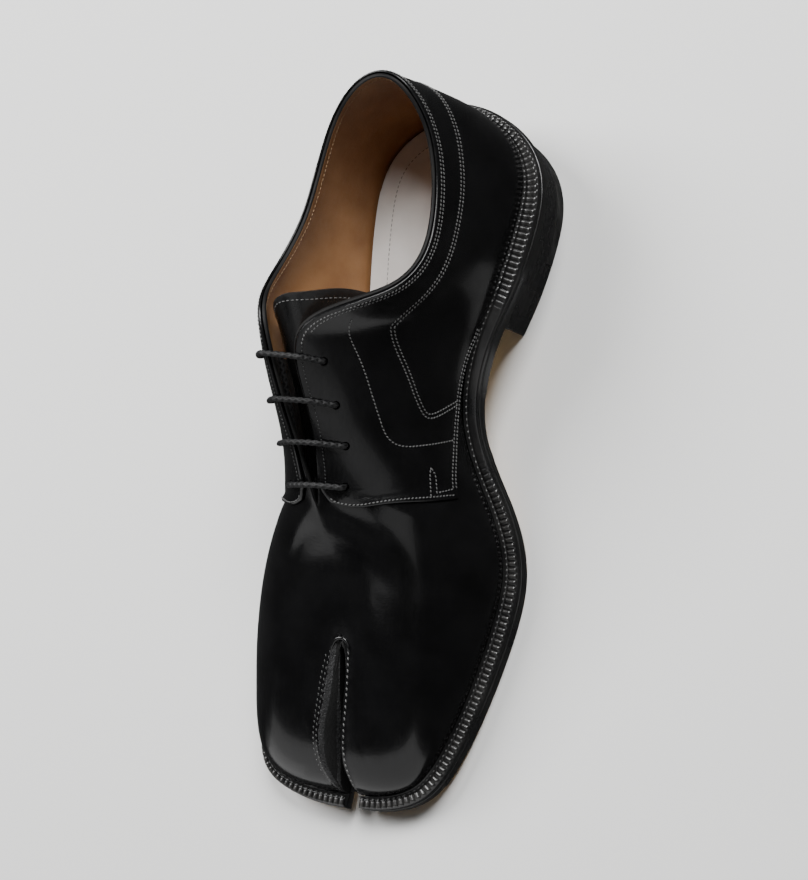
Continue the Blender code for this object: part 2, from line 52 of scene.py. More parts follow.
# The last: one row for each place from the cleft to the back of the heel, as shares of the shoe's sizes.
lastNames = ("latAcross", "latAlong", "medAcross", "medAlong", "latWelt", "medWelt", "topAcross", "topAlong",
             "topHeight", "topHalf", "wall", "latLean", "medLean", "roof", "pitch", "drop")
lastRows = (
    (.019, .003, -.045, .001, 6.0, 6.0, -.019, .230, .443, .014, .62, .02, .02, .48, .30, 0),  # cleft
    (.131, .008, -.159, .002, 6.5, 6.0, -.021, .240, .456, 0, .62, .05, .05, .47, .32, 0),
    (.266, .031, -.290, .012, 7.0, 5.5, -.026, .258, .474, 0, .58, .10, .12, .45, .34, 0),  # toe corner
    (.360, .087, -.421, .045, 7.5, 5.0, -.036, .282, .500, 0, .54, .16, .20, .43, .36, 0),
    (.439, .185, -.477, .122, 8.0, 4.5, -.047, .310, .536, 0, .50, .20, .30, .42, .38, 0),
    (.497, .300, -.500, .216, 8.5, 4.5, -.061, .338, .572, 0, .48, .22, .38, .42, .40, 0),  # ball
    (.486, .380, -.463, .314, 8.0, 4.5, -.078, .368, .619, 0, .48, .22, .40, .42, .42, 2),
    (.407, .456, -.355, .408, 8.0, 4.5, -.101, .399, .670, 0, .46, .20, .34, .40, .42, 8),  # throat
    (.290, .557, -.257, .516, 7.0, 4.5, -.150, .512, .851, .047, .42, .14, .18, .36, .20, 35),
    (.318, .669, -.257, .638, 7.5, 5.0, -.206, .624, 1.00, .075, .40, .10, .10, .34, 0, 50),  # facing top
    (.374, .742, -.290, .732, 9.0, 5.5, -.096, .693, .907, .236, .38, .10, .10, .32, 0, 74),
    (.416, .829, -.318, .822, 9.5, 6.0, -.034, .784, .804, .262, .36, .10, .10, .30, 0, 82),  # collar side
    (.402, .906, -.299, .906, 8.5, 6.0, -.020, .892, .842, .216, .36, .12, .12, .30, 0, 84),
    (.276, .969, -.168, .972, 6.5, 5.5, -.002, .957, .936, .119, .36, .14, .14, .30, 0, 86),
    (.047, 1.00, .047, 1.00, 5.5, 5.5, .005, .979, .965, 0, .36, .14, .14, .30, 0, 86),  # back
)
last = dict(zip(lastNames, np.array(lastRows).T))
throat = 7  # the row where the facings start
back = len(lastRows) - 1  # a place round the shoe runs from 0 to 2 * back


def spline(values, at):  # natural cubic through rows at 0, 1, 2 and on
    values = np.asarray(values, float)
    at = np.asarray(at, float)
    count = len(values)
    matrix = np.eye(count)
    bends = np.zeros_like(values)
    for i in range(1, count - 1):
        matrix[i, i - 1:i + 2] = (1, 4, 1)
        bends[i] = 6 * (values[i - 1] - 2 * values[i] + values[i + 1])
    bends = np.linalg.solve(matrix, bends)
    low = np.clip(np.floor(at).astype(int), 0, count - 2)
    t = at - low
    if values.ndim > 1:
        t = t[..., None]
    s = 1 - t
    return s * values[low] + t * values[low + 1] + ((s**3 - s) * bends[low] + (t**3 - t) * bends[low + 1]) / 6


def around(lateral, medial):  # lateral rows toe to heel, then medial rows heel to toe
    return np.concatenate([lateral, medial[-2::-1]])


def unit(vectors):
    return vectors / np.maximum(np.linalg.norm(vectors, axis=-1, keepdims=True), 1e-9)


def stack(*parts):
    return np.stack(np.broadcast_arrays(*parts), axis=-1)


edgeRows = np.stack([around(last["latAcross"], last["medAcross"]) * shoe["ballWidth"],
                     around(last["latAlong"], last["medAlong"]) * shoe["length"]], axis=-1)
weltRows = around(last["latWelt"], last["medWelt"])
leanRows = around(last["latLean"], last["medLean"])
ridgeRows = np.stack([last["topAcross"] * shoe["ballWidth"], last["topAlong"] * shoe["length"],
                      last["topHeight"] * shoe["instepHeight"]], axis=-1)
halfRows = last["topHalf"][:, None] * np.array([shoe["ballWidth"], 0, 0])
topRows = around(ridgeRows + halfRows, ridgeRows - halfRows)


def under(along):  # height of the sole's underside
    spring = shoe["toeSpring"] * np.clip(1 - along / shoe["springEnd"], 0, 1) ** 2
    rise = np.clip((along - shoe["archStart"]) / (shoe["archEnd"] - shoe["archStart"]), 0, 1)
    return spring + shoe["heelHeight"] * rise * rise * (3 - 2 * rise)


def soleEdge(place):
    return spline(edgeRows, place)


def outward(place, step=0.01):  # level direction out of the sole's edge
    run = spline(edgeRows, np.asarray(place) + step) - spline(edgeRows, np.asarray(place) - step)
    return unit(stack(run[..., 1], -run[..., 0]))


def feather(place):  # where the upper meets the sole
    return soleEdge(place) - spline(weltRows, place)[..., None] * outward(place)


def toStation(place):
    return np.minimum(place, 2 * back - place)


def bySide(place, stations, lateral, medial):  # a size given for stations of each side
    station = toStation(place)
    return np.where(place <= back, np.interp(station, stations, lateral),
                    np.interp(station, stations, medial))


def topLine(place):  # end of the cleft, ridge of the vamp, facings and collar
    place = np.asarray(place, float)
    station = toStation(place)
    side = np.where(place <= back, 1.0, -1.0)
    ridge = spline(ridgeRows[:throat + 1], np.clip(station, 0, throat))
    tip = side * shoe["tipHalf"] * np.sqrt(np.clip(1 - station * station, 0, 1))
    ridge = ridge + stack(tip, 0.0, 0.0)
    end = 2 * back - throat
    rear = spline(topRows[throat:end + 1], np.clip(place, throat, end) - throat)
    return np.where((station <= throat)[..., None], ridge, rear)


def surface(place, rise):  # outer surface of the upper, rise 0 at the sole and 1 at the top line
    place, rise = np.broadcast_arrays(np.asarray(place, float), np.asarray(rise, float))
    station = toStation(place)
    shape = {name: spline(last[name], station) for name in ("wall", "roof", "pitch", "drop")}
    foot = feather(place)
    foot = stack(foot[..., 0], foot[..., 1], under(foot[..., 1]) + shoe["sole"] + shoe["gap"])
    head = topLine(place)
    out = outward(place)
    fan = np.clip((shoe["fanEnd"] - station) / shoe["fanRun"], 0, 1)
    flat = unit(fan[..., None] * unit((foot - head)[..., :2]) + out)
    tall = (head - foot)[..., 2]
    lean = out * spline(leanRows, place)[..., None]
    wall = (shape["wall"] * tall)[..., None] * stack(lean[..., 0], lean[..., 1], 1.0)
    drop = np.radians(shape["drop"])
    level = flat * np.cos(drop)[..., None]
    fall = shape["pitch"] * level[..., 1] - np.sin(drop)
    reach = shape["roof"] * np.linalg.norm(head - foot, axis=-1)
    roof = reach[..., None] * stack(level[..., 0], level[..., 1], fall)
    t = rise[..., None]
    s = 1 - t
    return s**3 * foot + 3 * s * s * t * (foot + wall) + 3 * s * t * t * (head + roof) + t**3 * head


swell = {"stations": (0, .6, 2, 6, 7.5, 9, 10.5, 14), "lateral": (0, .6, 1.5, 1.7, 1.3, .8, .5, .5),
         "medial": (0, .4, .7, .7, .6, .6, .5, .5), "peak": 0.12}


def skin(place, rise):  # the surface with the leather swelling a little over the welt
    place, rise = np.broadcast_arrays(np.asarray(place, float), np.asarray(rise, float))
    most = bySide(place, swell["stations"], swell["lateral"], swell["medial"])
    reach = np.clip(rise, 0, 1) / swell["peak"]
    out = outward(place) * (most * reach * reach * np.exp(2 - 2 * reach))[..., None]
    return surface(place, rise) + stack(out[..., 0], out[..., 1], 0.0)


def normalAt(place, rise, step=0.004):
    rise = np.clip(rise, step, 1 - step)
    aroundRun = skin(place + step, rise) - skin(place - step, rise)
    upRun = skin(place, rise + step) - skin(place, rise - step)
    return unit(np.cross(aroundRun, upRun))


def riseBelowTop(place, inset, samples=80, lowest=0.2):  # rise of the points an inset below the top line
    place, inset = np.broadcast_arrays(np.asarray(place, float), np.asarray(inset, float))
    rises = np.linspace(1, lowest, samples)
    ribs = surface(place.reshape(-1, 1), rises)
    runs = np.cumsum(np.linalg.norm(np.diff(ribs, axis=1), axis=2), axis=1)
    runs = np.concatenate([np.zeros((len(runs), 1)), runs], axis=1)
    found = [np.interp(one, run, rises) for one, run in zip(inset.ravel(), runs)]
    return np.reshape(found, place.shape)


outline = soleEdge(np.linspace(0, 2 * back, 600))
centre = np.append((outline.max(axis=0) + outline.min(axis=0)) / 2, 0)


def toFrame(points):  # metres, with the middle of the sole at the origin
    return (np.asarray(points, float) - centre) * mm


def fromFrame(points):
    return np.asarray(points, float) / mm + centre


def runsAlong(line):  # how far along a line each of its points lies
    return np.concatenate([[0], np.cumsum(np.linalg.norm(np.diff(line, axis=0), axis=1))])


def evenSteps(line, step):
    runs = runsAlong(line)
    at = np.linspace(0, runs[-1], max(int(round(runs[-1] / step)), 2) + 1)
    return np.stack([np.interp(at, runs, line[:, i]) for i in range(line.shape[1])], axis=-1)


def lineThrough(points, step=None, fineness=40):  # smooth line through a few points, in even steps if asked
    points = np.asarray(points, float)
    line = spline(points, np.linspace(0, len(points) - 1, fineness * len(points)))
    return evenSteps(line, step) if step else line


def nearLine(points, line):  # distance of each point from a line, and the share of the line beside it
    best = np.full(len(points), np.inf)
    share = np.zeros(len(points))
    for i, (a, b) in enumerate(zip(line[:-1], line[1:])):
        run = b - a
        t = np.clip(((points - a) @ run) / max(run @ run, 1e-12), 0, 1)
        far = np.linalg.norm(points - a - t[:, None] * run, axis=1)
        nearer = far < best
        best[nearer] = far[nearer]
        share[nearer] = (i + t[nearer]) / (len(line) - 1)
    return best, share


# materials

def makeGroup(name, inputs, outputs):
    tree = bpy.data.node_groups.new(name, "ShaderNodeTree")
    for label, kind, value in inputs:
        socket = tree.interface.new_socket(label, in_out="INPUT", socket_type=kind)
        if value is not None:
            socket.default_value = value
    for label, kind in outputs:
        tree.interface.new_socket(label, in_out="OUTPUT", socket_type=kind)
    return tree, tree.nodes.new("NodeGroupInput"), tree.nodes.new("NodeGroupOutput")


def feed(tree, socket, value):  # a link where the value is a socket, else a constant
    if isinstance(value, bpy.types.NodeSocket):
        tree.links.new(value, socket)
    else:
        socket.default_value = value


def node(tree, kind, settings=None, **values):  # i0, i1 and on name inputs by number
    made = tree.nodes.new(kind)
    for label, value in (settings or {}).items():
        setattr(made, label, value)
    for label, value in values.items():
        number = label[1:]
        feed(tree, made.inputs[int(number) if number.isdigit() else label.replace("_", " ")], value)
    return made


def blendColour(tree, factor, first, second):
    ends = [value if isinstance(value, bpy.types.NodeSocket) else (*value, 1) for value in (first, second)]
    return node(tree, "ShaderNodeMix", {"data_type": "RGBA"}, i0=factor, i6=ends[0], i7=ends[1]).outputs[2]


def rangeOf(tree, value, low, high, newLow, newHigh):
    return node(tree, "ShaderNodeMapRange", i0=value, i1=low, i2=high, i3=newLow, i4=newHigh).outputs[0]


def makeHideGrain():  # pores and fine wrinkles of a hide, with a slow mottle
    tree, into, out = makeGroup("hideGrain", (("Vector", "NodeSocketVector", None),
                                              ("Pores", "NodeSocketFloat", 2600.0),
                                              ("Wrinkles", "NodeSocketFloat", 700.0)),
                                (("Height", "NodeSocketFloat"), ("Mottle", "NodeSocketFloat")))
    pores = node(tree, "ShaderNodeTexVoronoi", {"feature": "SMOOTH_F1"}, Vector=into.outputs["Vector"],
                 Scale=into.outputs["Pores"])
    wrinkles = node(tree, "ShaderNodeTexNoise", Vector=into.outputs["Vector"], Scale=into.outputs["Wrinkles"],
                    Detail=4.0, Roughness=0.6)
    height = node(tree, "ShaderNodeMath", {"operation": "MULTIPLY_ADD"}, i0=pores.outputs["Distance"], i1=0.6,
                  i2=wrinkles.outputs[0])
    mottle = node(tree, "ShaderNodeTexNoise", Vector=into.outputs["Vector"], Scale=70.0, Detail=3.0)
    tree.links.new(height.outputs[0], out.inputs["Height"])
    tree.links.new(mottle.outputs[0], out.inputs["Mottle"])
    return tree


def makeBrushMarks():  # long faint streaks left by brushing
    tree, into, out = makeGroup("brushMarks", (("Vector", "NodeSocketVector", None),
                                               ("Fineness", "NodeSocketFloat", 900.0)),
                                (("Streak", "NodeSocketFloat"),))
    turned = node(tree, "ShaderNodeMapping", Vector=into.outputs["Vector"], Rotation=(0.3, 0.2, 0.5),
                  Scale=(1.0, 0.06, 0.5))
    noise = node(tree, "ShaderNodeTexNoise", Vector=turned.outputs[0], Scale=into.outputs["Fineness"],
                 Detail=2.0)
    tree.links.new(noise.outputs[0], out.inputs["Streak"])
    return tree


def makeRubbing():  # where edges and high places are rubbed
    tree, into, out = makeGroup("rubbing", (("Vector", "NodeSocketVector", None),
                                            ("Edge", "NodeSocketFloat", 0.0)),
                                (("Rubbed", "NodeSocketFloat"),))
    noise = node(tree, "ShaderNodeTexNoise", Vector=into.outputs["Vector"], Scale=420.0, Detail=4.0)
    patchy = rangeOf(tree, noise.outputs[0], 0.35, 0.7, 0.2, 1.0)
    rubbed = node(tree, "ShaderNodeMath", {"operation": "MULTIPLY", "use_clamp": True}, i0=patchy,
                  i1=into.outputs["Edge"])
    tree.links.new(rubbed.outputs[0], out.inputs["Rubbed"])
    return tree


hideGrain, brushMarks, rubbing = makeHideGrain(), makeBrushMarks(), makeRubbing()


def startMaterial(name, **constants):
    made = bpy.data.materials.new(name)
    made.use_nodes = True
    tree = made.node_tree
    shader = tree.nodes["Principled BSDF"]
    for label, value in constants.items():
        shader.inputs[label.replace("_", " ")].default_value = value
    spot = tree.nodes.new("ShaderNodeTexCoord").outputs["Object"]
    return made, tree, shader, spot


def useGroup(tree, group, **values):
    return node(tree, "ShaderNodeGroup", {"node_tree": group}, **values)


def mottled(tree, texture, dark, light, low=0.3, high=0.7):  # two tones mixed by a texture
    return blendColour(tree, rangeOf(tree, texture, low, high, 0, 1), dark, light)


def rubbedEdge(tree, spot):
    edge = node(tree, "ShaderNodeAttribute", {"attribute_name": "edge"})
    return useGroup(tree, rubbing, Vector=spot, Edge=edge.outputs["Fac"]).outputs["Rubbed"]


def paint(tree, shader, colour, rough, height, depth):
    tree.links.new(colour, shader.inputs["Base Color"])
    tree.links.new(rough, shader.inputs["Roughness"])
    bump = node(tree, "ShaderNodeBump", Strength=1.0, Distance=depth, Height=height)
    tree.links.new(bump.outputs[0], shader.inputs["Normal"])


def makeHide(name, dark, light, gloss, depth, pores=2600.0, wrinkles=700.0, coat=0.0, paintedGrainGlints=False):
    made, tree, shader, spot = startMaterial(name, Coat_Weight=coat, Coat_Roughness=0.05,
                                             Specular_IOR_Level=0.32)
    grain = useGroup(tree, hideGrain, Vector=spot, Pores=pores, Wrinkles=wrinkles)
    marks = useGroup(tree, brushMarks, Vector=spot)
    rubbed = rubbedEdge(tree, spot)
    # with paintedGrainGlints the tone follows the raised grain, painted lighter there as glints; otherwise
    # the slow mottle sets it
    texture, low, high = ("Height", 0.55, 1.0) if paintedGrainGlints else ("Mottle", 0.35, 0.7)
    tone = mottled(tree, grain.outputs[texture], dark, light, low, high)
    worn = blendColour(tree, rubbed, tone, tuple(min(4 * c, 1) for c in light))
    polish = rangeOf(tree, marks.outputs["Streak"], 0.3, 0.7, *gloss)
    rough = node(tree, "ShaderNodeMath", {"operation": "MULTIPLY_ADD", "use_clamp": True}, i0=rubbed, i1=0.2,
                 i2=polish)
    paint(tree, shader, worn, rough.outputs[0], grain.outputs["Height"], depth)
    return made


def makeThread(name, dark, light, rough=0.5):  # twisted thread
    made, tree, shader, spot = startMaterial(name)
    twist = node(tree, "ShaderNodeTexNoise", Vector=spot, Scale=3500.0, Detail=2.0).outputs[0]
    paint(tree, shader, mottled(tree, twist, dark, light, 0.35, 0.65),
          rangeOf(tree, twist, 0.3, 0.7, rough - 0.1, rough + 0.1), twist, 0.00008)
    return made


def makeSmoothLeather(name, dark, light, shine, pores, wrinkles, gloss, depth):
    made, tree, shader, spot = startMaterial(name, Specular_IOR_Level=shine)
    grain = useGroup(tree, hideGrain, Vector=spot, Pores=pores, Wrinkles=wrinkles)
    texture, *spread = gloss  # the texture that sets the roughness, its range and the roughness at its ends
    paint(tree, shader, mottled(tree, grain.outputs["Mottle"], dark, light),
          rangeOf(tree, grain.outputs[texture], *spread), grain.outputs["Height"], depth)
    return made


def makeSoleLeather(name, dark, light):
    made, tree, shader, spot = startMaterial(name, Specular_IOR_Level=0.4)
    grain = useGroup(tree, hideGrain, Vector=spot, Pores=1500.0, Wrinkles=260.0)
    streak = useGroup(tree, brushMarks, Vector=spot, Fineness=500.0).outputs["Streak"]
    tone = mottled(tree, grain.outputs["Mottle"], dark, light)
    streaked = blendColour(tree, rangeOf(tree, streak, 0.45, 0.75, 0, 0.2), tone,
                           tuple(0.7 * c for c in dark))
    rough = rangeOf(tree, streak, 0.3, 0.7, 0.38, 0.55)
    paint(tree, shader, streaked, rough, grain.outputs["Height"], 0.00006)
    return made


def makeEdgeInk(name, gloss, layers=0.0, coat=0.25, shine=0.5, depth=0.00004):  # blacked, burnished edges
    made, tree, shader, spot = startMaterial(name, Coat_Weight=coat, Coat_Roughness=0.12,
                                             Specular_IOR_Level=shine)
    grain = useGroup(tree, hideGrain, Vector=spot, Pores=1800.0, Wrinkles=320.0)
    tone = mottled(tree, grain.outputs["Mottle"], (.006, .006, .0065), (.014, .0135, .013))
    colour = blendColour(tree, rubbedEdge(tree, spot), tone, (.05, .046, .042))
    height = grain.outputs["Height"]
    if layers:
        flat = node(tree, "ShaderNodeMapping", Vector=spot, Scale=(0.12, 0.12, 1.0))
        joins = node(tree, "ShaderNodeTexNoise", Vector=flat.outputs[0], Scale=layers, Detail=1.0)
        height = node(tree, "ShaderNodeMath", {"operation": "MULTIPLY_ADD"}, i0=joins.outputs[0], i1=0.8,
                      i2=height).outputs[0]
    paint(tree, shader, colour, rangeOf(tree, grain.outputs["Mottle"], 0.3, 0.7, *gloss), height, depth)
    return made


def makeRubber():
    made, tree, shader, spot = startMaterial("blackRubber", Specular_IOR_Level=0.35)
    dots = node(tree, "ShaderNodeTexVoronoi", Vector=spot, Scale=1100.0)
    dust = node(tree, "ShaderNodeTexNoise", Vector=spot, Scale=120.0, Detail=4.0).outputs[0]
    paint(tree, shader, mottled(tree, dust, (.012, .012, .012), (.035, .034, .033), 0.4, 0.75),
          rangeOf(tree, dust, 0.3, 0.7, 0.55, 0.75), dots.outputs["Distance"], 0.00012)
    return made


def makeWaxedBraid():  # high strands painted lighter as highlight and hollows darker as shade, with wax mottling the roughness
    made, tree, shader, spot = startMaterial("waxedBraid", Specular_IOR_Level=0.2)
    paintedStrandLightShade = node(tree, "ShaderNodeAttribute", {"attribute_name": "edge"}).outputs["Fac"]
    wax = node(tree, "ShaderNodeTexNoise", Vector=spot, Scale=900.0, Detail=3.0)
    fibre = node(tree, "ShaderNodeTexNoise", Vector=spot, Scale=6000.0, Detail=2.0)
    # raised strands painted lighter as highlight, hollows darker as shade
    paint(tree, shader, blendColour(tree, paintedStrandLightShade, (.0015, .0015, .0015), (.016, .016, .0165)),
          rangeOf(tree, wax.outputs[0], 0.3, 0.7, 0.38, 0.58), fibre.outputs[0], 0.00006)
    return made


polished = ((.0025, .0025, .0027), (.0050, .0050, .0053))
vampHide = makeHide("vampHide", *polished, (0.12, 0.19), 0.00003, coat=0.15)
quarterHide = makeHide("quarterHide", *polished, (0.14, 0.23), 0.00005, coat=0.12)
tongueHide = makeHide("tongueHide", (.004, .004, .0042), (.009, .009, .0093), (0.24, 0.36), 0.0001,
                      2000.0, 420.0, 0.1)
# the grainy strip of the cleft, its raised grain painted lighter as glints
cleftHide = makeHide("cleftHide", (.003, .003, .0031), (.030, .030, .031), (0.36, 0.52), 0.0006,
                     1500.0, 1100.0, paintedGrainGlints=True)
# near-black matte leather painted as the shade in the cleft and on the lining beside it
cleftPaintedShade = makeHide("cleftPaintedShade", (.0010, .0010, .0010), (.0022, .0022, .0022), (0.6, 0.8), 0.0002,
                     1300.0, 900.0)
cutEdge = makeEdgeInk("cutEdge", (0.4, 0.6), coat=0.0, shine=0.12)
weltInk = makeEdgeInk("weltInk", (0.26, 0.4))
soleInk = makeEdgeInk("soleInk", (0.24, 0.42))
heelInk = makeEdgeInk("heelInk", (0.2, 0.36), 420.0, depth=0.000015)
tanLining = makeSmoothLeather("tanLining", (.235, .113, .043), (.315, .165, .07), 0.35, 1900.0, 420.0,
                              ("Height", 0.3, 1.0, 0.45, 0.65), 0.00008)
soleTan = makeSoleLeather("soleTan", (.54, .35, .145), (.61, .405, .18))
liftTan = makeSoleLeather("liftTan", (.53, .34, .14), (.60, .395, .175))
blackRubber = makeRubber()
paleSock = makeSmoothLeather("paleSock", (.62, .60, .575), (.72, .70, .68), 0.4, 2200.0, 300.0,
                             ("Mottle", 0.3, 0.7, 0.4, 0.55), 0.00004)
waxedBraid = makeWaxedBraid()
blackThread = makeThread("blackThread", (.004, .004, .004), (.012, .012, .0125))
dimThread = makeThread("dimThread", (.022, .022, .022), (.065, .065, .064))
greyThread = makeThread("greyThread", (.065, .065, .065), (.16, .16, .158))
paleThread = makeThread("paleThread", (.22, .21, .20), (.34, .33, .315))
tanThread = makeThread("tanThread", (.33, .20, .10), (.50, .33, .18), 0.6)
print("materials made")


# helpers for pieces

def newObject(name, bm, materials=()):
    mesh = bpy.data.meshes.new(name)
    bm.to_mesh(mesh)
    bm.free()
    for one in materials:
        mesh.materials.append(one)
    made = bpy.data.objects.new(name, mesh)
    bpy.context.scene.collection.objects.link(made)
    return made


def addPiece(name, bm, materials, slotName, replaced=(), sharp=50):
    piece = newObject(name, bm, materials)
    piece.data.shade_smooth()
    piece.data.set_sharp_from_angle(angle=math.radians(sharp))
    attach(piece, "root")
    if replaced:
        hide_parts(*replaced)
    print("made", name, len(piece.data.polygons), "faces")
    return piece


def only(kind, items):
    return [item for item in items if isinstance(item, kind)]


def weld(bm, sides=0):  # joins points that meet, fills holes of up to so many sides and turns faces outward
    bmesh.ops.remove_doubles(bm, verts=bm.verts, dist=1e-6)
    if sides:
        bmesh.ops.holes_fill(bm, edges=[edge for edge in bm.edges if edge.is_boundary], sides=sides)
    bmesh.ops.recalc_face_normals(bm, faces=bm.faces)


def gridShares(bm, columns, rows):
    bmesh.ops.create_grid(bm, x_segments=columns, y_segments=rows, size=0.5)
    corners = np.array([vert.co.xy for vert in bm.verts]) + 0.5
    return (np.round(corners * (columns, rows)) / (columns, rows)).T


def setPoints(bm, points):
    for vert, point in zip(bm.verts, toFrame(points)):
        vert.co = point


def readPoints(bm):
    return fromFrame([vert.co[:] for vert in bm.verts])


def markEdge(bm, values):  # how near each point is to a rubbed edge; on the lace, how high the braid stands, for its painted highlight and shade
    layer = bm.verts.layers.float.get("edge") or bm.verts.layers.float.new("edge")
    for vert, value in zip(bm.verts, values):
        vert[layer] = float(value)


def solidify(piece, thickness, offset, inner=0, rim=0):
    wall = piece.modifiers.new("wall", "SOLIDIFY")
    wall.thickness = thickness * mm
    wall.offset = offset
    wall.use_rim = True
    wall.material_offset = inner
    wall.material_offset_rim = rim


def bakeModifiers(piece):
    graph = bpy.context.evaluated_depsgraph_get()
    old = piece.data
    piece.data = bpy.data.meshes.new_from_object(piece.evaluated_get(graph))
    piece.modifiers.clear()
    bpy.data.meshes.remove(old)


def tube(line, radius, sides, relief=None):  # a round tube along a line; relief raises it by run and angle
    line = np.asarray(line, float)
    radius = np.broadcast_to(radius, len(line))
    runs = runsAlong(line)
    ways = unit(np.gradient(line, axis=0))
    first = np.empty_like(ways)
    first[0] = unit(np.cross(ways[0], (0.3, 0.2, 0.9)))  # any way that the line doesn't start along
    for i in range(1, len(ways)):
        first[i] = unit(first[i - 1] - ways[i] * (first[i - 1] @ ways[i]))
    second = np.cross(ways, first)
    bm = bmesh.new()
    along, turn = gridShares(bm, len(line) - 1, sides)
    at = np.round(along * (len(line) - 1)).astype(int)
    angle = turn * 2 * math.pi
    height = relief(runs[at], angle) if relief else np.zeros(len(at))
    setPoints(bm, line[at] + (radius[at] + height)[:, None] * (first[at] * np.cos(angle)[:, None]
                                                               + second[at] * np.sin(angle)[:, None]))
    # the braid's height goes to the edge layer, where the lace's material paints highlight on high strands
    # and shade in the hollows
    if relief:
        markEdge(bm, (height - height.min()) / np.ptp(height))
    weld(bm, sides + 2)
    return bm


def addTo(joined, bm):  # moves one bmesh into another
    mesh = bpy.data.meshes.new("joining")
    bm.to_mesh(mesh)
    bm.free()
    joined.from_mesh(mesh)
    bpy.data.meshes.remove(mesh)


lengthwise = Matrix.Rotation(math.pi / 2, 4, "Y")


def addBead(bm, spot, turn, halves, poles=Matrix.Identity(4)):  # one rounded stitch
    size = Matrix.Diagonal((*(half * mm for half in halves), 1))
    bmesh.ops.create_uvsphere(bm, u_segments=6, v_segments=4, radius=1.0,
                              matrix=Matrix.Translation(Vector(spot)) @ turn @ size @ poles)


def sew(bm, line, ways, stitch):  # a row of short rounded stitches lying along a line
    row = bmesh.new()
    cut = evenSteps(np.concatenate([line, ways], axis=1), stitch["pitch"])
    if stitch.get("late"):
        cut = (cut[:-1] + cut[1:]) / 2  # half a stitch on, so that two rows stagger
    middles = (cut[:-1] + cut[1:]) / 2
    spots, faceWays = middles[:, :3], unit(middles[:, 3:])
    runs = unit(cut[1:, :3] - cut[:-1, :3])
    slant = stitch.get("slant", 0)
    halves = (stitch["length"] / 2, stitch["thick"] / 2, stitch["thick"] / 2)
    for spot, run, way in zip(toFrame(spots + stitch.get("lift", 0.1) * faceWays), runs, faceWays):
        side = np.cross(way, run)
        slanted = math.cos(slant) * run + math.sin(slant) * side
        across = math.cos(slant) * side - math.sin(slant) * run
        turn = Matrix((slanted, across, np.cross(slanted, across))).transposed().to_4x4()
        addBead(row, spot, turn, halves, lengthwise)
    addTo(bm, row)


def onSurface(places, rises, lift):  # points on the upper with the way they face
    ways = normalAt(places, rises)
    points = skin(places, rises) + lift * ways
    return pressed(points, ways), ways


# folds of the leather

folds = (  # line over the upper as place and rise, depth and width in mm
    {"line": ((5.6, .80), (6.2, .90), (6.5, .97)), "depth": 0.2, "width": 2.8},
    {"line": ((4.6, .70), (5.4, .86), (5.7, .95)), "depth": 0.15, "width": 3.0},
    {"line": ((22.9, .74), (22.2, .86), (21.8, .95)), "depth": 0.18, "width": 3.0},
    {"line": ((26.75, .56), (26.5, .60), (26.2, .63)), "depth": 0.3, "width": 1.5},
)
dips = (  # soft hollows of the vamp in plan: across and along the shoe, reach each way and depth in mm
    {"middle": (-9.0, 90.0), "reach": (22.0, 11.0), "depth": 0.75},
    {"middle": (14.0, 94.0), "reach": (13.0, 9.0), "depth": 0.30},
    {"middle": (-2.0, 71.0), "reach": (4.6, 3.2), "depth": 0.34},
)
unevenness = {"depth": 0.06, "across": 5.3, "along": 7.1, "up": 6.3}
foldShape = {"step": 1.5, "ends": 0.7, "ridge": 0.55, "ridgeAt": 1.7}  # a low ridge beside each trough
foldLines = []
for fold in folds:
    guide = lineThrough(fold["line"])
    foldLines.append(evenSteps(surface(guide[:, 0], guide[:, 1]), foldShape["step"]))


def pressed(points, ways):  # points moved in and out by the folds
    flat = points.reshape(-1, 3)
    move = np.zeros(len(flat))
    for fold, line in zip(folds, foldLines):
        far, share = nearLine(flat, line)
        fade = np.sin(np.pi * np.clip(share, 0.001, 0.999)) ** foldShape["ends"]
        reach = far / fold["width"]
        ridge = foldShape["ridge"] * np.exp(-(reach - foldShape["ridgeAt"]) ** 2)
        move += fold["depth"] * fade * (ridge - np.exp(-reach ** 2))
    for dip in dips:
        away = (flat[:, :2] - dip["middle"]) / dip["reach"]
        move -= dip["depth"] * np.exp(-(away ** 2).sum(axis=1))
    x, y, z = (flat / [unevenness[name] for name in ("across", "along", "up")]).T
    wave = np.sin(x + 0.7 * y) * np.cos(0.8 * y - 0.5 * z) + 0.6 * np.sin(1.3 * z - 0.6 * x)
    move += unevenness["depth"] * wave
    return points + move.reshape(points.shape[:-1])[..., None] * ways


# the upper with its cleft

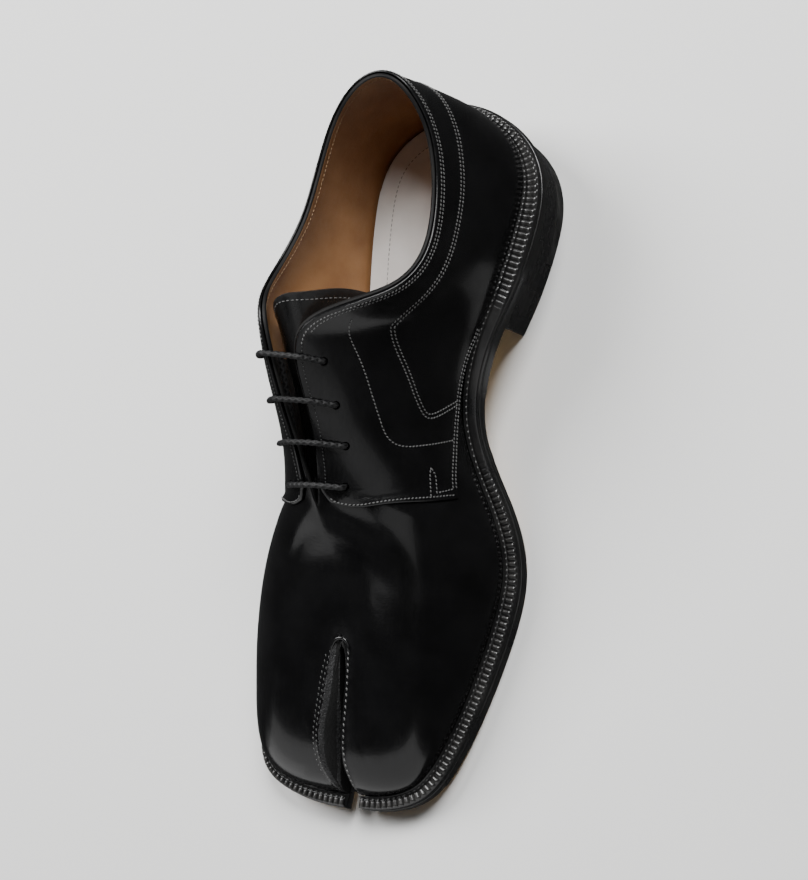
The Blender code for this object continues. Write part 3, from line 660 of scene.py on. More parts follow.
cleft = {
    "columns": (36, 312, 36),  # lateral lip, round the shoe, medial lip
    "rows": 64, "wallRows": 10, "wallEase": 1.3,
    # pairs give a place along the shoe and the size there
    "medialRoll": ((7, 1.5), (10, 2.4), (16, 5.4), (21, 6.8), (29, 7.4), (36, 6.6), (50, 5.0), (63, 2.8),
                   (66, 2.4)),
    "medialDrop": ((7, 1.5), (16, 6.0), (29, 7.5), (38, 5.5), (46, 3.2), (54, 2.4), (66, 1.4)),
    "lateralRoll": 1.3, "lateralDrop": 0.9, "dropPower": 1.7, "bead": 0.3, "beadWidth": 0.8,
    "lateralLean": ((7, .8), (12, 1.2), (18, 2.5), (24, 2.8), (31, 2.3), (39, 1.3), (48, .5), (60, 0),
                    (66, 0)),
    "leanReach": 14.0, "tipShift": 2.5, "tipFrom": 50.0, "tipRun": shoe["slotEnd"] / 3, "tipSlope": 0.42,
    "near": (24.0, 85.0),  # across and along, the points that the lips can move
    "shadow": ((7, .4), (16, .68), (34, .66), (46, .5), (66, .38)),  # share of the medial shoulder painted dark as shade
    "shoulderEnd": 64.3, "shoulderInset": 0.4,
    "liningShadeReach": 12.0,  # how far from the cleft the lining is painted black as shade
    "facingStations": (6.5, 8.66), "facingRises": (0.4, 0.96),  # the lining is painted black as shade under the facings too
    "creaseAt": 1, "creaseHalf": 0.12, "creaseRises": (0.5, 0.97), "creasePasses": 8,
    "rubAt": 1.5, "rubWidth": 3.0, "rubbing": 0.25,
    "thinning": ((4.0, 0.2), (9.0, 1.0)),  # distance from the lip and share of the wall's thickness
    "thinInside": (5.0, 60.0),  # across and along, the walls of the cleft
    "piping": ((-6.5, 57.0), (-6.7, 59.5), (-6.4, 62.2), (-5.2, 64.8), (-3.2, 66.3), (-1.0, 66.2), (.7, 64.6),
               (1.3, 62.0), (1.3, 59.0)),
    "pipingRadius": (.2, .75, .75, .25), "pipingShares": (0, .3, .8, 1), "pipingReach": 8.0,
    "pipingStep": 0.35, "pipingSides": 14, "pipingSunk": 0.8, "pipingRubbing": 0.1,
}
# plain leather, the grainy shoulder, lining painted black as shade, and painted shade for the gap and its
# walls
finish = {"plain": 0, "shoulder": 1, "paintedLiningShade": 2, "paintedGapShade": 3}


def lipLine(step=0.6, rows=60, turnRows=16):  # up the lateral lip and down the medial one
    rises = np.linspace(0, 1, rows)
    turns = np.linspace(0, 1, turnRows)
    line = np.concatenate([surface(np.zeros(rows), rises), topLine(turns)[1:],
                           topLine(2 * back - turns[::-1])[1:],
                           surface(np.full(rows, 2.0 * back), rises[::-1])[1:]])
    return evenSteps(line, step)


lips = lipLine()


def sizeAlong(name, along):
    return np.interp(along, *np.transpose(cleft[name]))


def rolled(points):  # the lips turn down into the cleft behind a low bead, and the lateral one leans over it
    flat = points.reshape(-1, 3)
    across, along = cleft["near"]
    near = np.where((flat[:, 1] < along) & (np.abs(flat[:, 0] - shoe["slotAcross"]) < across))[0]
    some = flat[near]
    far, share = nearLine(some, lips)
    medial = share > 0.5
    width = np.where(medial, sizeAlong("medialRoll", some[:, 1]), cleft["lateralRoll"])
    depth = np.where(medial, sizeAlong("medialDrop", some[:, 1]), cleft["lateralDrop"])
    drop = depth * np.clip(1 - far / width, 0, 1) ** cleft["dropPower"]
    bead = cleft["bead"] * np.exp(-((far - width) / cleft["beadWidth"]) ** 2)
    fade = np.clip(1 - far / cleft["leanReach"], 0, 1)
    fade = fade * fade * (3 - 2 * fade)
    drawn = cleft["tipShift"] * fade * np.clip((some[:, 1] - cleft["tipFrom"]) / cleft["tipRun"], 0, 1)
    moved = flat.copy()
    moved[near, 0] -= np.where(medial, 0, sizeAlong("lateralLean", some[:, 1])) * fade
    moved[near, 1] -= drawn
    moved[near, 2] += bead - drop - cleft["tipSlope"] * drawn
    return moved.reshape(points.shape)


vamp = {"reach": 3, "columns": 90, "rows": 240, "lowest": 0.02, "heightWeight": 0.02}
toePlaces = np.linspace(0, vamp["reach"], vamp["columns"])
medialPlaces = np.linspace(2 * back - vamp["reach"], 2 * back, vamp["columns"])
vampPlaces, vampRises = np.meshgrid(np.concatenate([toePlaces, medialPlaces]),
                                    np.linspace(vamp["lowest"], 1, vamp["rows"]))
vampField = surface(vampPlaces, vampRises).reshape(-1, 3)
vampWays = normalAt(vampPlaces, vampRises).reshape(-1, 3)


def onVamp(spots, heights):  # points of the toe's leather nearest to spots in plan, near the heights given
    picks = []
    for spot, height in zip(spots, np.broadcast_to(heights, len(spots))):
        away = ((vampField[:, :2] - spot) ** 2).sum(axis=1)
        picks.append(int(np.argmin(away + vamp["heightWeight"] * (vampField[:, 2] - height) ** 2)))
    return rolled(pressed(vampField[picks], vampWays[picks])), vampWays[picks]


def cleftFoot(place, rise):  # where the wall below a point of the lip meets the sole
    station = toStation(place)
    foot = feather(np.array([place if station == 0 else 0]))[0]
    angle = (1 if place < back else -1) * (1 - station) * math.pi / 2
    along = foot[1] + rise * (shoe["slotEnd"] - shoe["slotHalf"] - foot[1])
    turned = np.array((math.sin(angle), math.cos(angle)))
    slot = np.array((shoe["slotAcross"], along)) + shoe["slotHalf"] * turned
    lift = shoe["sole"] + shoe["gap"] + shoe["cleftLift"] * math.cos(angle)
    return Vector(toFrame((*slot, under(slot[1]) + lift)))


def buildWalls(bm, lip, feet):  # from the lips down to the sole, painted near-black as the shade in the cleft
    edges = [edge for edge in bm.edges if edge.is_boundary and all(vert[lip] for vert in edge.verts)]
    starts = {vert[lip]: vert.co.copy() for edge in edges for vert in edge.verts}
    for row in range(1, cleft["wallRows"] + 1):
        share = (row / cleft["wallRows"]) ** cleft["wallEase"]
        made = bmesh.ops.extrude_edge_only(bm, edges=edges)["geom"]
        edges = only(bmesh.types.BMEdge, made)
        for vert in only(bmesh.types.BMVert, made):
            vert.co = starts[vert[lip]].lerp(feet[vert[lip]], share)
        for face in only(bmesh.types.BMFace, made):
            face.material_index = finish["paintedGapShade"]


def paintUpper(bm, placeLayer, riseLayer):  # the grainy shoulder of the cleft with painted shade on its darker share, and the lining painted black as shade near the cleft and under the facings
    bm.faces.ensure_lookup_table()
    spots = fromFrame([face.calc_center_median()[:] for face in bm.faces])
    far, share = nearLine(spots, lips)
    roll, shadow = sizeAlong("medialRoll", spots[:, 1]), sizeAlong("shadow", spots[:, 1])
    corners = np.array([np.mean([(vert[placeLayer], vert[riseLayer]) for vert in face.verts], axis=0)
                        for face in bm.faces])
    stations, rises = toStation(corners[:, 0]), corners[:, 1]
    (first, end), (low, high) = cleft["facingStations"], cleft["facingRises"]
    facing = (stations > first) & (stations < end) & (rises > low) & (rises < high)
    shoulder = (share > 0.5) & (far < roll - cleft["shoulderInset"]) & (spots[:, 1] < cleft["shoulderEnd"])
    paintedGapShade = shoulder & (far < shadow * roll)
    # faces near the cleft or under the facings take painted shade in place of plain leather and lining
    for i in np.where((far < cleft["liningShadeReach"]) | facing)[0]:
        if bm.faces[i].material_index == finish["plain"]:
            kind = "paintedGapShade" if paintedGapShade[i] else "shoulder" if shoulder[i] else "paintedLiningShade"
            bm.faces[i].material_index = finish[kind]


def makeUpper():
    bm = bmesh.new()
    total = sum(cleft["columns"])
    shares, rises = gridShares(bm, total, cleft["rows"])
    marks = np.cumsum((0,) + cleft["columns"])
    places = np.interp(shares * total, marks, (0, 1, 2 * back - 1, 2 * back))
    setPoints(bm, skin(places, rises))
    lip = bm.verts.layers.int.new("lip")
    placeLayer, riseLayer = bm.verts.layers.float.new("place"), bm.verts.layers.float.new("rise")
    feet = {}
    for vert, place, rise in zip(bm.verts, places, rises):
        vert[placeLayer], vert[riseLayer] = place, rise
        if toStation(place) == 0 or (rise == 1 and toStation(place) <= 1):
            vert[lip] = len(feet) + 1
            feet[vert[lip]] = cleftFoot(place, rise)
    weld(bm)
    bm.normal_update()
    ways = np.array([vert.normal[:] for vert in bm.verts])
    setPoints(bm, rolled(pressed(readPoints(bm), ways)))
    low, high = cleft["creaseRises"]
    creased = [vert for vert in bm.verts if low < vert[riseLayer] < high
               and abs(toStation(vert[placeLayer]) - cleft["creaseAt"]) < cleft["creaseHalf"]]
    for _ in range(cleft["creasePasses"]):
        bmesh.ops.smooth_vert(bm, verts=creased, factor=0.5, use_axis_x=True, use_axis_y=True,
                              use_axis_z=True)
    buildWalls(bm, lip, feet)
    weld(bm)
    bm.verts.index_update()
    points = readPoints(bm)
    far, _ = nearLine(points, lips)
    markEdge(bm, np.clip(1 - np.abs(far - cleft["rubAt"]) / cleft["rubWidth"], 0, 1) * cleft["rubbing"])
    across, along = cleft["thinInside"]
    inside = (np.abs(points[:, 0] - shoe["slotAcross"]) < across) & (points[:, 1] < along)
    thinning = np.interp(np.where(inside, 0, far), *np.transpose(cleft["thinning"]))
    paintUpper(bm, placeLayer, riseLayer)
    # the cleft's walls, the dark share of the shoulder and the lining beside the cleft take the near-black
    # painted shade
    outer = (vampHide, cleftHide, vampHide, cleftPaintedShade)
    inner, rim = (tanLining, *[cleftPaintedShade] * 3), (cutEdge, *[cleftPaintedShade] * 3)
    piece = addPiece("upperLeather", bm, outer + inner + rim, "black_brushed_leather", ("upper",))
    solidify(piece, shoe["wall"], -1, len(outer), 2 * len(outer))
    group = piece.vertex_groups.new(name="wallShare")
    for i, wallShare in enumerate(thinning):
        group.add([i], float(wallShare), "REPLACE")
    piece.modifiers["wall"].vertex_group = "wallShare"
    return piece


def makePiping():  # the bead round the end of the cleft
    guide = lineThrough(cleft["piping"], cleft["pipingStep"])
    near = np.linalg.norm(vampField[:, :2] - guide.mean(axis=0), axis=1) < cleft["pipingReach"]
    field = pressed(vampField[near], vampWays[near])
    slope = np.linalg.lstsq(np.column_stack([field[:, :2], np.ones(len(field))]), field[:, 2], rcond=None)[0]
    line = np.column_stack([guide, guide @ slope[:2] + slope[2]])
    shares = np.linspace(0, 1, len(line))
    radius = np.interp(shares, cleft["pipingShares"], cleft["pipingRadius"])
    line[:, 2] -= cleft["pipingSunk"] - radius
    bm = tube(line, radius, cleft["pipingSides"])
    markEdge(bm, np.full(len(bm.verts), cleft["pipingRubbing"]))
    return addPiece("cleftPiping", bm, (vampHide,), "black_brushed_leather")


upperPiece = makeUpper()
makePiping()


# lace holes

laceHoles = {"stations": (7.16, 7.66, 8.16, 8.66), "inset": 11.5, "radius": 1.7, "depth": 9.0, "sides": 24}
holePlaces = np.array([(station, 2 * back - station) for station in laceHoles["stations"]])
holeRises = riseBelowTop(holePlaces, laceHoles["inset"])


def makeHoleCutter():
    bm = bmesh.new()
    radius = laceHoles["radius"] * mm
    for spot, way in zip(toFrame(surface(holePlaces, holeRises)).reshape(-1, 3),
                         normalAt(holePlaces, holeRises).reshape(-1, 3)):
        turn = Vector(way).to_track_quat("Z", "Y").to_matrix().to_4x4()
        bmesh.ops.create_cone(bm, cap_ends=True, segments=laceHoles["sides"], radius1=radius, radius2=radius,
                              depth=laceHoles["depth"] * mm, matrix=Matrix.Translation(Vector(spot)) @ turn)
    return newObject("holePunch", bm)


def punchHoles(pieces):
    punch = makeHoleCutter()
    for piece in pieces:
        cut = piece.modifiers.new("holes", "BOOLEAN")
        cut.operation = "DIFFERENCE"
        cut.solver = "EXACT"
        cut.object = punch
        bakeModifiers(piece)
    bpy.data.objects.remove(punch)


# the quarters with their eyelet flaps

quarter = {
    "columns": 252, "rows": 60, "lift": 0.3, "thick": 1.2, "round": 1.1, "edgeShare": 0.25,
    "endRooms": (0.03, 0.1), "endPower": 1.8, "rubWidth": 1.4, "rubbing": 0.25, "lowest": 0.055,
    "front": ((.30, 6.98), (.50, 6.84), (.70, 6.76), (.84, 6.72), (.92, 6.90), (.965, 7.06), (1.0, 7.22)),
    "low": ((6.6, .30), (7.0, .315), (7.38, .275), (7.88, .175), (8.21, .125), (8.6, .095), (9.0, .05),
            (9.3, .0)),
    "spread": ((7.0, 2.0, 4.5), (7.33, 1.0, 2.3), (7.66, 0, 0)),  # station, lateral and medial gap
}


def flapFront(rise):
    line = lineThrough(quarter["front"])
    return np.interp(rise, line[:, 0], line[:, 1])


def flapLow(station):
    line = lineThrough(quarter["low"])
    return np.maximum(np.interp(station, line[:, 0], line[:, 1]), quarter["lowest"])


def flapRise(places, rises):  # at their fronts the flaps stand back from the throat
    spread = bySide(places, *np.transpose(quarter["spread"]))
    top = np.where(spread > 0, riseBelowTop(places, spread), 1.0)
    low = flapLow(toStation(places))
    return low + (rises - low) * (top - low) / (1 - low)


def towardsEnds(shares, room):  # more rows close to both ends
    ease = np.minimum(shares, 1 - shares)
    eased = np.where(ease < room, room * (ease / room) ** quarter["endPower"], ease)
    return np.where(shares < 0.5, eased, 1 - eased)


def makeQuarters():
    bm = bmesh.new()
    across, up = map(towardsEnds, gridShares(bm, quarter["columns"], quarter["rows"]), quarter["endRooms"])
    low = flapLow(toStation(throat + across * 2 * (back - throat)))
    rises = low + up * (1 - low)
    front = flapFront(rises)
    places = front + across * 2 * (back - front)
    rises = flapRise(places, rises)
    points = skin(places, rises)
    ways = normalAt(places, rises)
    edgeFar = np.full(len(points), np.inf)
    for spot in points[(across == 0) | (across == 1) | (up == 0) | (up == 1)]:
        edgeFar = np.minimum(edgeFar, ((points - spot) ** 2).sum(axis=1))
    edgeFar = np.sqrt(edgeFar)
    full = np.sqrt(np.clip(1 - (1 - np.clip(edgeFar / quarter["round"], 0, 1)) ** 2, 0, 1))
    lift = quarter["lift"] + quarter["thick"] * (quarter["edgeShare"] + (1 - quarter["edgeShare"]) * full)
    setPoints(bm, pressed(points, ways) + lift[:, None] * ways)
    markEdge(bm, np.clip(1 - edgeFar / quarter["rubWidth"], 0, 1) * quarter["rubbing"])
    bmesh.ops.recalc_face_normals(bm, faces=bm.faces)
    piece = addPiece("quarterLeather", bm, (quarterHide, cutEdge), "black_quarter_leather", ("quarters",))
    solidify(piece, quarter["thick"] * quarter["edgeShare"], -1, 0, 1)
    return piece


quarterPiece = makeQuarters()
punchHoles((upperPiece, quarterPiece))
print("lace holes punched")


# welt, sole and heel

welt = {
    "pitch": 2.4, "pointsPerRib": 8, "height": 3.2, "storm": 1.4, "inset": 0.4,
    "rib": 0.8, "ribPower": 0.7, "ribAbove": 2.5, "ribFrom": 0.10, "ribTo": (.68, .97), "ribEase": (.08, .06),
    "ribToStations": (9.4, 10.4), "rubbing": 0.4, "rubEnd": 0.6,
    "ribStations": (0, 6.9, 7.7, 9.4, 10.2, 14), "ribShares": (1, 1, 0, 0, .75, .75),  # none at the waist
    "grooveAt": 0.42, "grooveWidth": 0.05, "grooveStations": (10.2, 11.2),  # parted round the heel
    "stitchAt": 0.80, "stitchHeight": 3.45, "stitchSize": (.36, .56, .36), "stitchEnd": 9.9,
    "profile": ((0, .3), (0, 1.2), (0, 2.0), (.015, 2.5), (.04, 2.8), (.08, 2.95), (.11, 3.0), (.14, 3.02),
                (.19, 3.05), (.27, 3.1), (.36, 3.15), (.46, 3.2), (.56, 3.25), (.63, 3.28), (.66, 3.25),
                (.70, 3.1), (.75, 3.05), (.80, 3.15), (.86, 3.6), (.92, 4.2), (.96, 4.5), (1.0, 4.4),
                (1.0, 3.2), (1.0, 2.0), (1.0, .3)),
}


def weltPoint(place, share, height):
    inner = (spline(weltRows, place) - 2 * shoe["gap"]
             - spline(leanRows, place) * (welt["height"] + welt["storm"]))
    inset = welt["inset"] + share * (inner - welt["inset"])
    flat = soleEdge(place) - inset[..., None] * outward(place)
    return stack(flat[..., 0], flat[..., 1], under(flat[..., 1]) + shoe["sole"] + height)


def evenPlaces(step, share=0.5, samples=4000):  # places an even step apart round the welt
    dense = np.linspace(0, 2 * back, samples)
    runs = runsAlong(weltPoint(dense, np.full(samples, share), np.zeros(samples)))
    count = int(round(runs[-1] / step))
    return np.interp(np.linspace(0, runs[-1], count + 1), runs, dense)


ribs = evenPlaces(welt["pitch"])


def makeWelt():
    bm = bmesh.new()
    profile = np.array(welt["profile"])
    along, side = gridShares(bm, (len(ribs) - 1) * welt["pointsPerRib"], len(profile))
    ribAt = along * (len(ribs) - 1)
    places = np.interp(ribAt, np.arange(len(ribs)), ribs)
    stations = toStation(places)
    share, height = profile[np.round(side * len(profile)).astype(int) % len(profile)].T
    wave = np.abs(np.sin(np.pi * ribAt)) ** welt["ribPower"]
    ribTo = np.interp(stations, welt["ribToStations"], welt["ribTo"])
    easeIn, easeOut = welt["ribEase"]
    band = np.sqrt(np.clip((share - welt["ribFrom"]) / easeIn, 0, 1)
                   * np.clip((ribTo - share) / easeOut, 0, 1))
    band = band * np.interp(stations, welt["ribStations"], welt["ribShares"])
    groove = np.exp(-((share - welt["grooveAt"]) / welt["grooveWidth"]) ** 2)
    band = band * (1 - groove * np.interp(stations, welt["grooveStations"], (0, 1)))
    setPoints(bm, weltPoint(places, share, height + welt["rib"] * wave * band * (height > welt["ribAbove"])))
    markEdge(bm, np.clip(welt["rubbing"] * wave * band * (share < welt["rubEnd"]), 0, 1))
    weld(bm, len(profile) + 2)
    addPiece("stormWelt", bm, (weltInk,), "black_welt", ("welt",))


def makeWeltStitches():
    thread = bmesh.new()
    between = (ribs[:-1] + ribs[1:]) / 2
    between = between[toStation(between) < welt["stitchEnd"]]
    ones = np.ones(len(between))
    spots = weltPoint(between, welt["stitchAt"] * ones, welt["stitchHeight"] * ones)
    for spot, out in zip(toFrame(spots), outward(between)):
        addBead(thread, spot, Matrix.Rotation(math.atan2(out[1], out[0]), 4, "Z"), welt["stitchSize"])
    addPiece("weltStitches", thread, (greyThread,), "black_welt")


makeWelt()
makeWeltStitches()

sole = {"points": 420, "step": 4.0, "edgeRounds": (0.7, 0.5), "sharp": 60, "facingDown": -0.9,
        "layers": 3, "layerRounds": (0.1, 0.1), "breast": 199.0, "breastDepth": 6.0, "breastPoints": 25,
        "heelPoints": 300, "heelInset": 0.8, "heelTaper": 0.975, "lift": 6.0, "liftRounds": (0.5, 0.25),
        "leatherMedial": 49.0, "leatherLateral": 29.0}


def slab(line, low, high, thick, rounds, step=None):  # a plate cut to a line, its edges rounded, then bent
    bm = bmesh.new()
    ring = [bm.verts.new((x, y, 0)) for x, y in line]
    edges = [bm.edges.new((ring[i - 1], ring[i])) for i in range(len(ring))]
    faces = bmesh.ops.contextual_create(bm, geom=edges)["faces"]
    made = bmesh.ops.extrude_face_region(bm, geom=faces)["geom"]
    for vert in only(bmesh.types.BMVert, made):
        vert.co.z = thick
    for level, size in zip((0, thick), rounds):
        if size:
            rim = [edge for edge in bm.edges if all(abs(vert.co.z - level) < 1e-4 for vert in edge.verts)]
            bmesh.ops.bevel(bm, geom=rim, offset=size, affect="EDGES", segments=3, profile=0.5, material=-1,
                            clamp_overlap=True)
    cuts = np.arange(line[:, 1].min() + step, line[:, 1].max() - 1, step) if step else ()
    for along in cuts:
        bmesh.ops.bisect_plane(bm, geom=bm.verts[:] + bm.edges[:] + bm.faces[:], dist=1e-4,
                               plane_co=(0, along, 0), plane_no=(0, 1, 0))
    for vert in bm.verts:
        x, y, level = vert.co
        vert.co = toFrame((x, y, low(y) + (high(y) - low(y)) * level / thick))
    bmesh.ops.recalc_face_normals(bm, faces=bm.faces)
    return bm


def cleftLine(line, half, end, points=25, shortest=0.2):  # closes an open line round the cleft
    turns = np.linspace(0, math.pi, points)
    tip = np.stack([shoe["slotAcross"] - half * np.cos(turns), end + half * np.sin(turns)], axis=-1)
    ring = np.concatenate([line, [(shoe["slotAcross"] - half, line[-1][1])], tip,
                           [(shoe["slotAcross"] + half, line[0][1])]])
    return ring[np.linalg.norm(ring - np.roll(ring, 1, axis=0), axis=1) > shortest]


def paintUnderside(bm, end):  # the second finish, from the toe as far as the end given
    bm.normal_update()
    for face in bm.faces:
        along = fromFrame([face.calc_center_median()[:]])[0, 1]
        if face.normal.z < sole["facingDown"] and along < end:
            face.material_index = 1


def makeOutsole():
    line = cleftLine(soleEdge(np.linspace(0, 2 * back, sole["points"])), shoe["slotHalf"],
                     shoe["slotEnd"] - shoe["slotHalf"])
    bm = slab(line, under, lambda y: under(y) + shoe["sole"], shoe["sole"], sole["edgeRounds"], sole["step"])
    paintUnderside(bm, sole["breast"] + sole["breastDepth"])
    addPiece("leatherOutsole", bm, (soleInk, soleTan), "tan_sole_leather", ("outsole",), sole["sharp"])


def heelLine(inset):
    places = np.linspace(throat, 2 * back - throat, sole["heelPoints"])
    line = soleEdge(places) - inset * outward(places)
    line = line[line[:, 1] > sole["breast"]]
    share = np.linspace(0, 1, sole["breastPoints"])[1:-1]
    breast = line[-1] + share[:, None] * (line[0] - line[-1])
    breast[:, 1] += sole["breastDepth"] * np.sin(math.pi * share)
    return np.concatenate([line, breast])


heelMiddle = np.array((heelLine(0).mean(axis=0)[0], sole["breast"]))


def makeHeel():
    joined = bmesh.new()
    low, high = sole["lift"] + shoe["gap"], shoe["heelHeight"] - shoe["gap"]
    for layer in range(sole["layers"]):
        bottom = low + (high - low) * layer / sole["layers"]
        top = low + (high - low) * (layer + 1) / sole["layers"]
        bm = slab(heelLine(sole["heelInset"]), lambda y: bottom, lambda y: top, top - bottom,
                  sole["layerRounds"])
        points = readPoints(bm)
        taper = np.interp(points[:, 2], (low, high), (sole["heelTaper"], 1))[:, None]
        setPoints(bm, np.column_stack([heelMiddle + (points[:, :2] - heelMiddle) * taper, points[:, 2]]))
        addTo(joined, bm)
    addPiece("heelStack", joined, (heelInk,), "black_heel", ("heel_stack",), sole["sharp"])
    line = heelMiddle + (heelLine(sole["heelInset"]) - heelMiddle) * sole["heelTaper"]
    medial = np.array((line[:, 0].min(), sole["breast"] + sole["leatherMedial"]))
    lateral = np.array((line[:, 0].max(), sole["breast"] + sole["leatherLateral"]))
    run = unit(lateral - medial)
    behind = Vector((-run[1], run[0], 0))
    onLine = Vector(toFrame((*medial, 0)))
    for name, side, finishes, slotName, replaced in (
            ("liftLeather", 1, (heelInk, liftTan), "tan_lift_leather", "heel_lift_leather"),
            ("liftRubber", -1, (blackRubber,), "black_rubber", "heel_lift_rubber")):
        bm = slab(line, lambda y: 0.0, lambda y: sole["lift"], sole["lift"], sole["liftRounds"])
        cut = bmesh.ops.bisect_plane(bm, geom=bm.verts[:] + bm.edges[:] + bm.faces[:], dist=1e-7,
                                     plane_co=onLine - behind * (side * shoe["gap"] / 2 * mm),
                                     plane_no=behind * side, clear_outer=True)["geom_cut"]
        bmesh.ops.contextual_create(bm, geom=only(bmesh.types.BMEdge, cut))
        bmesh.ops.recalc_face_normals(bm, faces=bm.faces)
        if len(finishes) > 1:
            paintUnderside(bm, shoe["length"])
        addPiece(name, bm, finishes, slotName, (replaced,), sole["sharp"])


makeOutsole()
makeHeel()

sock = {"start": 0.35, "points": 300, "thick": 3.0, "rounds": (0, 0.6),
        "stitchStart": 8.6, "stitchPoints": 200, "stitchInset": 7.5,
        "stitch": {"pitch": 2.0, "length": 1.5, "thick": 0.45, "lift": 0.05}}


def makeSockPiece():
    inset = shoe["wall"] + 3 * shoe["gap"]
    places = np.linspace(sock["start"], 2 * back - sock["start"], sock["points"])
    line = feather(places) - inset * outward(places)
    half = shoe["slotHalf"] + shoe["wall"] + 2 * shoe["gap"]
    keep = (np.abs(line[:, 0] - shoe["slotAcross"]) > half + shoe["gap"]) | (line[:, 1] > shoe["slotEnd"])
    ring = cleftLine(line[keep], half, shoe["slotEnd"] - shoe["slotHalf"] + shoe["cleftSlant"])
    base = shoe["sole"] + shoe["gap"]
    bm = slab(ring, lambda y: under(y) + base, lambda y: under(y) + base + sock["thick"], sock["thick"],
              sock["rounds"], sole["step"])
    addPiece("insoleSock", bm, (paleSock,), "insole_sock", ("insole",), sole["sharp"])
    places = np.linspace(sock["stitchStart"], 2 * back - sock["stitchStart"], sock["stitchPoints"])
    row = feather(places) - (inset + sock["stitchInset"]) * outward(places)
    points = stack(row[:, 0], row[:, 1], under(row[:, 1]) + base + sock["thick"])
    thread = bmesh.new()
    sew(thread, points, np.broadcast_to((0.0, 0.0, 1.0), points.shape), sock["stitch"])
    addPiece("sockStitches", thread, (paleThread,), "insole_sock")


makeSockPiece()


# tongue

tongue = {
    "thick": 1.8, "start": 6.7, "top": 8.85, "sewn": 0.85, "columns": 96, "rows": 84,
    "edgeRound": 0.6, "roundAngle": 55, "passes": (360, 8),  # smoothing across and up
    # pairs give a share of the way up, or across for the rise, and the size there
    "depth": ((0, 6.0), (.62, 6.0), (1, 3.6)), "medial": ((0, 20), (.5, 27), (.85, 31), (1, 28.5)),
    "lateral": ((0, 17), (1, 45)),
    "rise": ((0, 8), (.15, 11), (.3, 15), (.47, 18), (.63, 20), (.78, 24.5), (.92, 27.5), (1, 21.3)),
    "ear": ((.005, 1.0), (.04, .925), (.075, .877), (.13, .842), (.14, .80)),
    "earStep": 0.9, "earSlope": 0.014, "earFade": 0.04,
    "size": (40, 90), "rubWidth": 1.5, "rubbing": 0.4,  # rough width and height for the rubbed edge
    "stitchInset": 2.2, "stitchPasses": 6, "stitch": {"pitch": 1.9, "length": 1.4, "thick": 0.45},
}


def acrossThroat(station, reach):  # point of the section to either side of the throat's middle
    side = np.where(reach >= 0, 1.0, -1.0)
    lateral, medial = topLine(station), topLine(2 * back - station)
    half = np.linalg.norm(lateral - medial, axis=-1) / 2
    place = np.where(side > 0, station, 2 * back - station)
    beyond = np.maximum(np.abs(reach) - half, 0)
    onRib = surface(place, riseBelowTop(place, beyond))
    share = np.clip(reach / np.maximum(half, 1e-6), -1, 1)[..., None]
    between = (lateral + medial) / 2 + share * (lateral - medial) / 2
    return np.where((np.abs(reach) > half)[..., None], onRib, between)


def tonguePoints(acrossShare, upShare):
    station = tongue["start"] + (tongue["top"] - tongue["start"]) * np.minimum(upShare / tongue["sewn"], 1)
    medial, lateral = (np.interp(upShare, *np.transpose(tongue[name])) for name in ("medial", "lateral"))
    points = acrossThroat(station, acrossShare * (medial + lateral) - medial)
    middle = acrossThroat(np.array([laceHoles["stations"][-2], tongue["top"]]), np.zeros(2))
    beyond = np.maximum(upShare - tongue["sewn"], 0) / (1 - tongue["sewn"])
    beyond = beyond * np.interp(acrossShare, *np.transpose(tongue["rise"]))
    return points + beyond[:, None] * unit(middle[1] - middle[0])


def relax(rows, passes):  # evens out points along the first axis, the two ends held
    for _ in range(passes):
        rows[1:-1] = (rows[:-2] + 2 * rows[1:-1] + rows[2:]) / 4


def sewTongue(field, facing):  # the stitches keep one distance from the top edge
    line, ways = [], []
    for column in range(field.shape[1]):
        runs = np.cumsum(np.linalg.norm(np.diff(field[::-1, column], axis=0), axis=1))
        at = len(field) - 2 - int(np.searchsorted(runs, tongue["stitchInset"]))
        line.append(field[at, column])
        ways.append(facing[at, column])
    line = np.array(line)
    relax(line, tongue["stitchPasses"])
    thread = bmesh.new()
    sew(thread, line, np.array(ways), tongue["stitch"])
    addPiece("tongueStitches", thread, (greyThread,), "black_tongue_leather")


